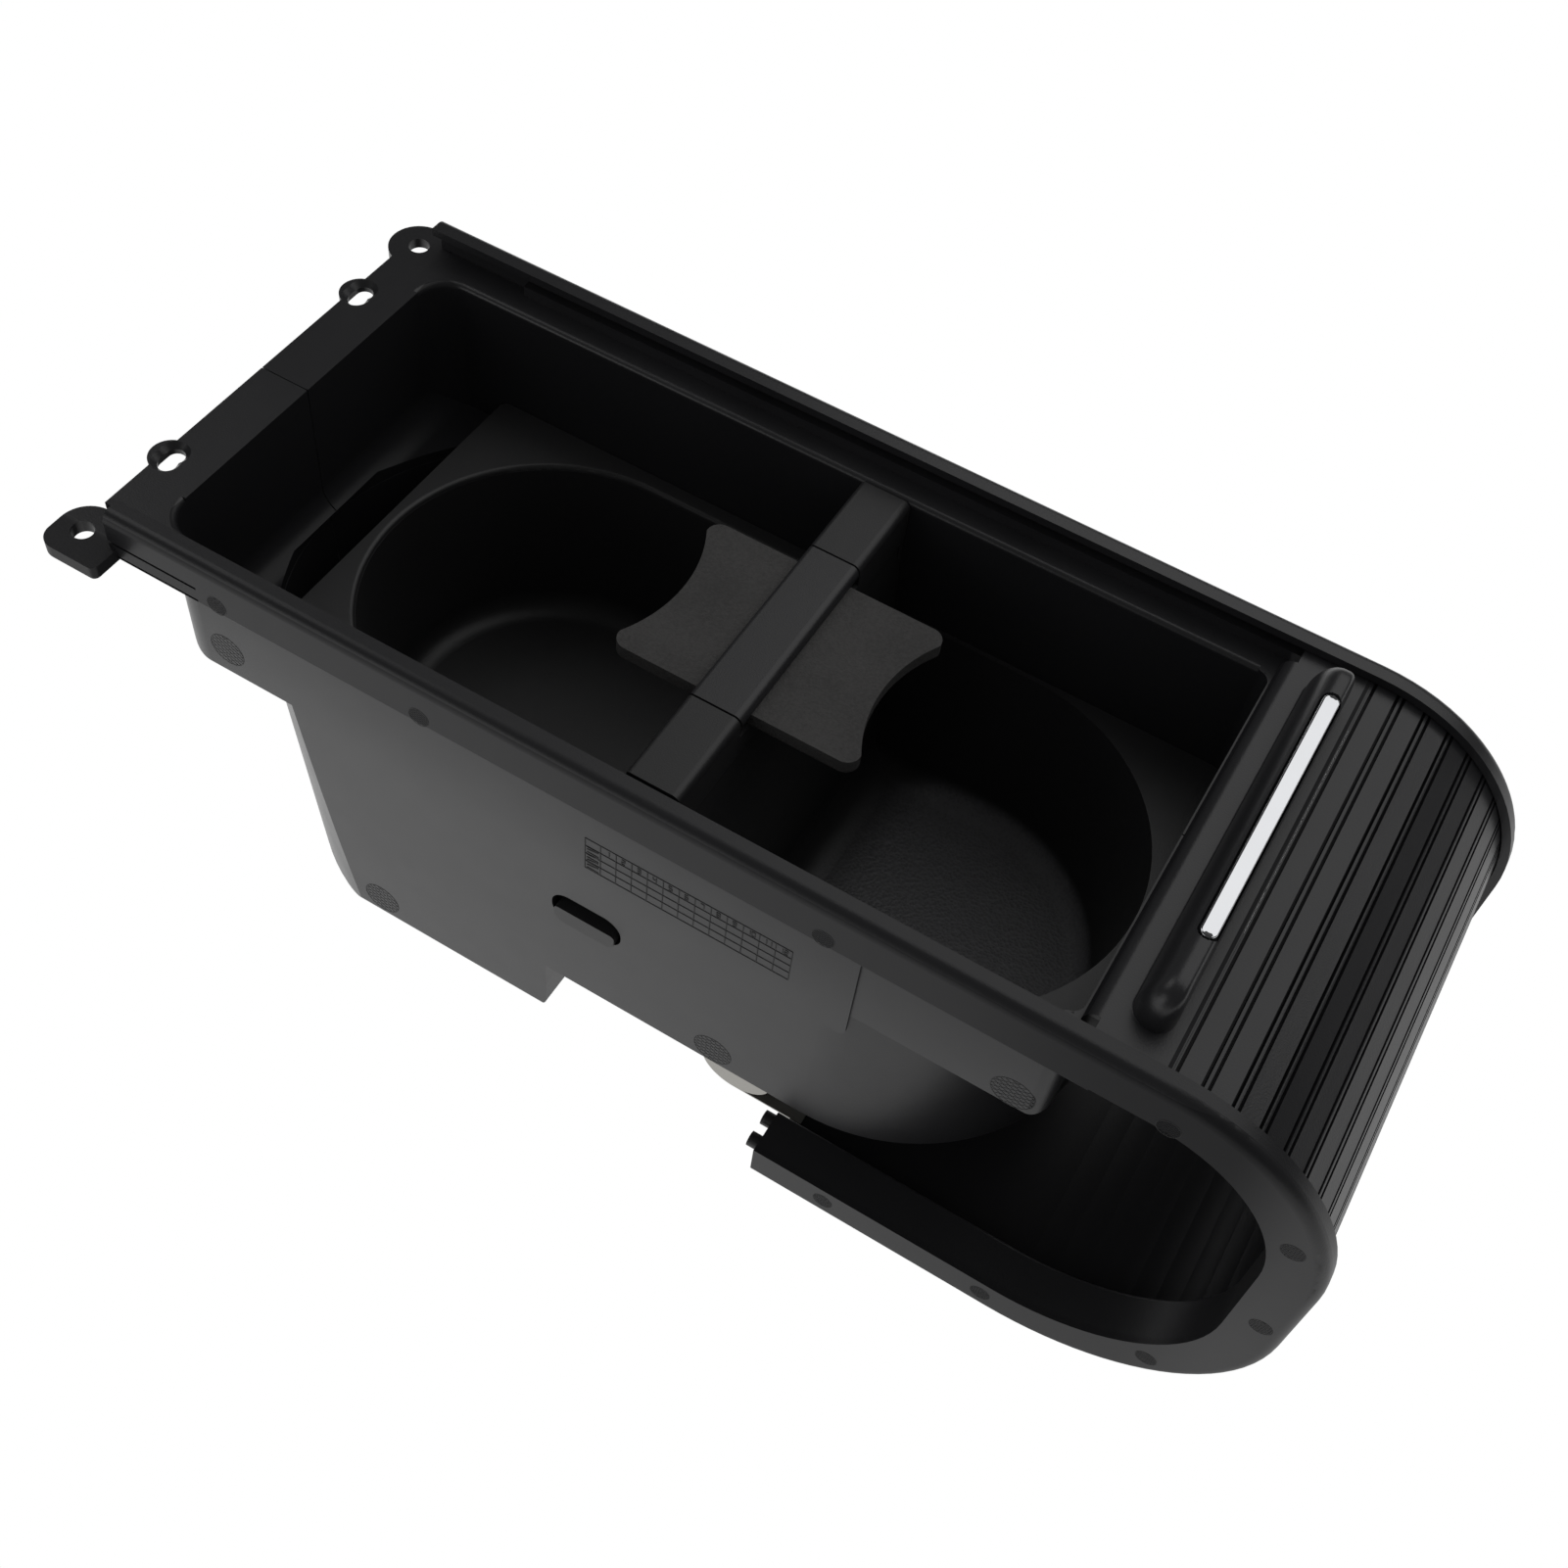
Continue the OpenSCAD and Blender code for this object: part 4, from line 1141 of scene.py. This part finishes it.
@dataclass(frozen=True)
class MouldMarks:
    """Date grid and ejector pads on the near wall, all plain moulded relief, in millimetres.

    A large pad has its X, Z and radius, and a small pad on the rail's face its X and Z. The
    widths of their ridges and rings grow by widening times the pad's radius. The notes are the
    short strokes in the left column of the grid.
    """

    wall_y: float = -51.2
    panel_y: float = -51.8
    rail_y: float = -60.0
    large: tuple[Triple, ...] = (
        (18.5, -40.5, 4.6), (54.0, -115.0, 5.0), (151.0, -96.0, 5.0), (219.0, -43.6, 5.0))
    small: tuple[Pair, ...] = (
        (28.7, -10.2), (80.5, -10.4), (175.5, -10.3), (248.5, -10.6), (279.2, -28.9),
        (283.4, -62.6), (269.0, -104.0), (230.6, -119.2), (188.5, -119.2))
    small_r: float = 2.5
    ridges: int = 3
    ridge_gap: float = 1 / 4.2
    ridge_turn: float = 30.0
    ridge_w: float = 0.04
    ridge_lift: float = 0.06
    ring_points: int = 33
    ring_w: float = 0.06
    ring_lift: float = 0.05
    widening: float = 0.03
    grid_x: Pair = (119.5, 166.7)
    grid_z: Pair = (-46.8, -35.4)
    months: int = 12
    years: int = 4
    head: float = 3.9
    line: float = 0.2
    lift: float = 0.1
    notes: int = 9
    note_line: float = 0.32
    note_margin: float = 0.5
    note_rise: Pair = (-0.1, 0.5)
    note_top: float = 2.9
    figure_h: float = 1.6
    figure_step: float = 1.5
    figure_line: float = 0.22
    figure_drop: float = 2.3
    figure_x: float = 0.9
    single_x: float = 0.5

    def pads(self) -> list[tuple[float, float, float, float]]:
        """Every pad's X, Z, radius and the Y of the face that it stands on."""
        small = [(x, z, self.small_r, self.rail_y) for x, z in self.small]
        return [(*pad, self.wall_y) for pad in self.large] + small

    def hatch(self, b: Builder, x: float, z: float, r: float, y: float) -> None:
        """Adds a round pad of crossed ridges, each a chord of the circle.

        Args:
            b: takes the faces.
            x: X of the pad's middle.
            z: Z of its middle.
            r: its radius.
            y: the face that it stands on.
        """
        for turn in (math.radians(self.ridge_turn), math.radians(-self.ridge_turn)):
            along = np.array([math.cos(turn), math.sin(turn)])
            across = np.array([-along[1], along[0]])
            for k in range(-self.ridges, self.ridges + 1):
                off = k * r * self.ridge_gap
                half = along * math.sqrt(r * r - off * off)
                mid = np.array([x, z]) + across * off
                b.bar(mid - half, mid + half, self.widening * r + self.ridge_w, y, self.ridge_lift)

    def outline(self, b: Builder, x: float, z: float, r: float, y: float) -> None:
        """Adds a thin ring round a pad, as short bars in the darker finish, a painted shade at the
        pad's edge.

        Args:
            b: takes the faces.
            x: X of the pad's middle.
            z: Z of its middle.
            r: its radius.
            y: the face that it stands on.
        """
        t = np.linspace(0, 2 * math.pi, self.ring_points)
        points = np.stack([x + r * np.cos(t), z + r * np.sin(t)], axis=1)
        for start, end in zip(points[:-1], points[1:]):
            b.bar(start, end, self.widening * r + self.ring_w, y, self.ring_lift)

    def number(self, b: Builder, text: str, x: float, z: float) -> None:
        """Adds a plain number drawn as bars, with figures half as wide as high.

        Args:
            b: takes the faces.
            text: the number's figures.
            x: its left end.
            z: its foot.
        """
        half = self.figure_h / 2
        for k, figure in enumerate(text):
            corner = np.array([x + k * half * self.figure_step, z])
            for stroke in FIGURES[figure]:
                start, end = corner + half * np.array(STROKES[stroke])
                b.bar(start, end, self.figure_line, self.panel_y, self.lift)

    def grid(self, b: Builder) -> None:
        """Adds the date grid: its lines, the short strokes of its left column, and the numbers.

        Args:
            b: takes the faces.
        """
        (x0, x1), (z0, z1) = self.grid_x, self.grid_z
        left = x0 - self.head
        columns = x0 + (x1 - x0) * np.arange(self.months + 1) / self.months
        heights = z0 + (z1 - z0) * np.arange(self.years + 1) / self.years
        lines = [((x, z0), (x, z1)) for x in (*columns, left)]
        lines += [((left, z), (x1, z)) for z in heights]
        for start, end in lines:
            b.bar(start, end, self.line, self.panel_y, self.lift)
        margin = self.note_margin
        for k in range(self.notes):
            z = z0 + margin + (z1 - z0 - margin - self.note_top) * k / (self.notes - 1)
            end = (x0 - margin, z + self.note_rise[k % 2])
            b.bar((left + margin, z), end, self.note_line, self.panel_y, self.lift)
        for k, x in enumerate(columns[:-1], 1):
            text = str(k)
            inset = self.figure_x + (self.single_x if len(text) == 1 else 0.0)
            self.number(b, text, x + inset, z1 - self.figure_drop)

    def build(self, shell: bpy.types.Material, dark: bpy.types.Material) -> None:
        """Makes the hatched pads in the shell's finish, and their rings and the grid darker; the rings
        are painted shade at the pads' edges.

        Args:
            shell: the shell's finish.
            dark: the finish of the lines.
        """
        hatching, lines = Builder(), Builder()
        for pad in self.pads():
            self.hatch(hatching, *pad)
            self.outline(lines, *pad)
        self.grid(lines)
        for b, name, material in ((hatching, "mould_pads", shell), (lines, "mould_grid_and_pad_shade", dark)):
            made = b.make(name)
            made.data.materials.append(material)
            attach(made, Body.ROOT.value)


def main() -> None:
    """Builds the scene round the frame."""
    logging.basicConfig(level=logging.INFO)
    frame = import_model()
    bpy.context.scene.view_settings.view_transform = "Standard"
    Camera().build()
    Lights().build()
    nodes = frame["nodes"]
    finishes = Finishes()
    finishes.build(nodes)
    Lid().build(nodes, finishes.made[Slot.BLIND], finishes.made[Slot.TRIM])
    BlindRun().build(finishes.made[Slot.BLIND])
    MouldMarks().build(finishes.made[Slot.SHELL], finishes.lines.build())


if __name__ == "__main__":
    main()
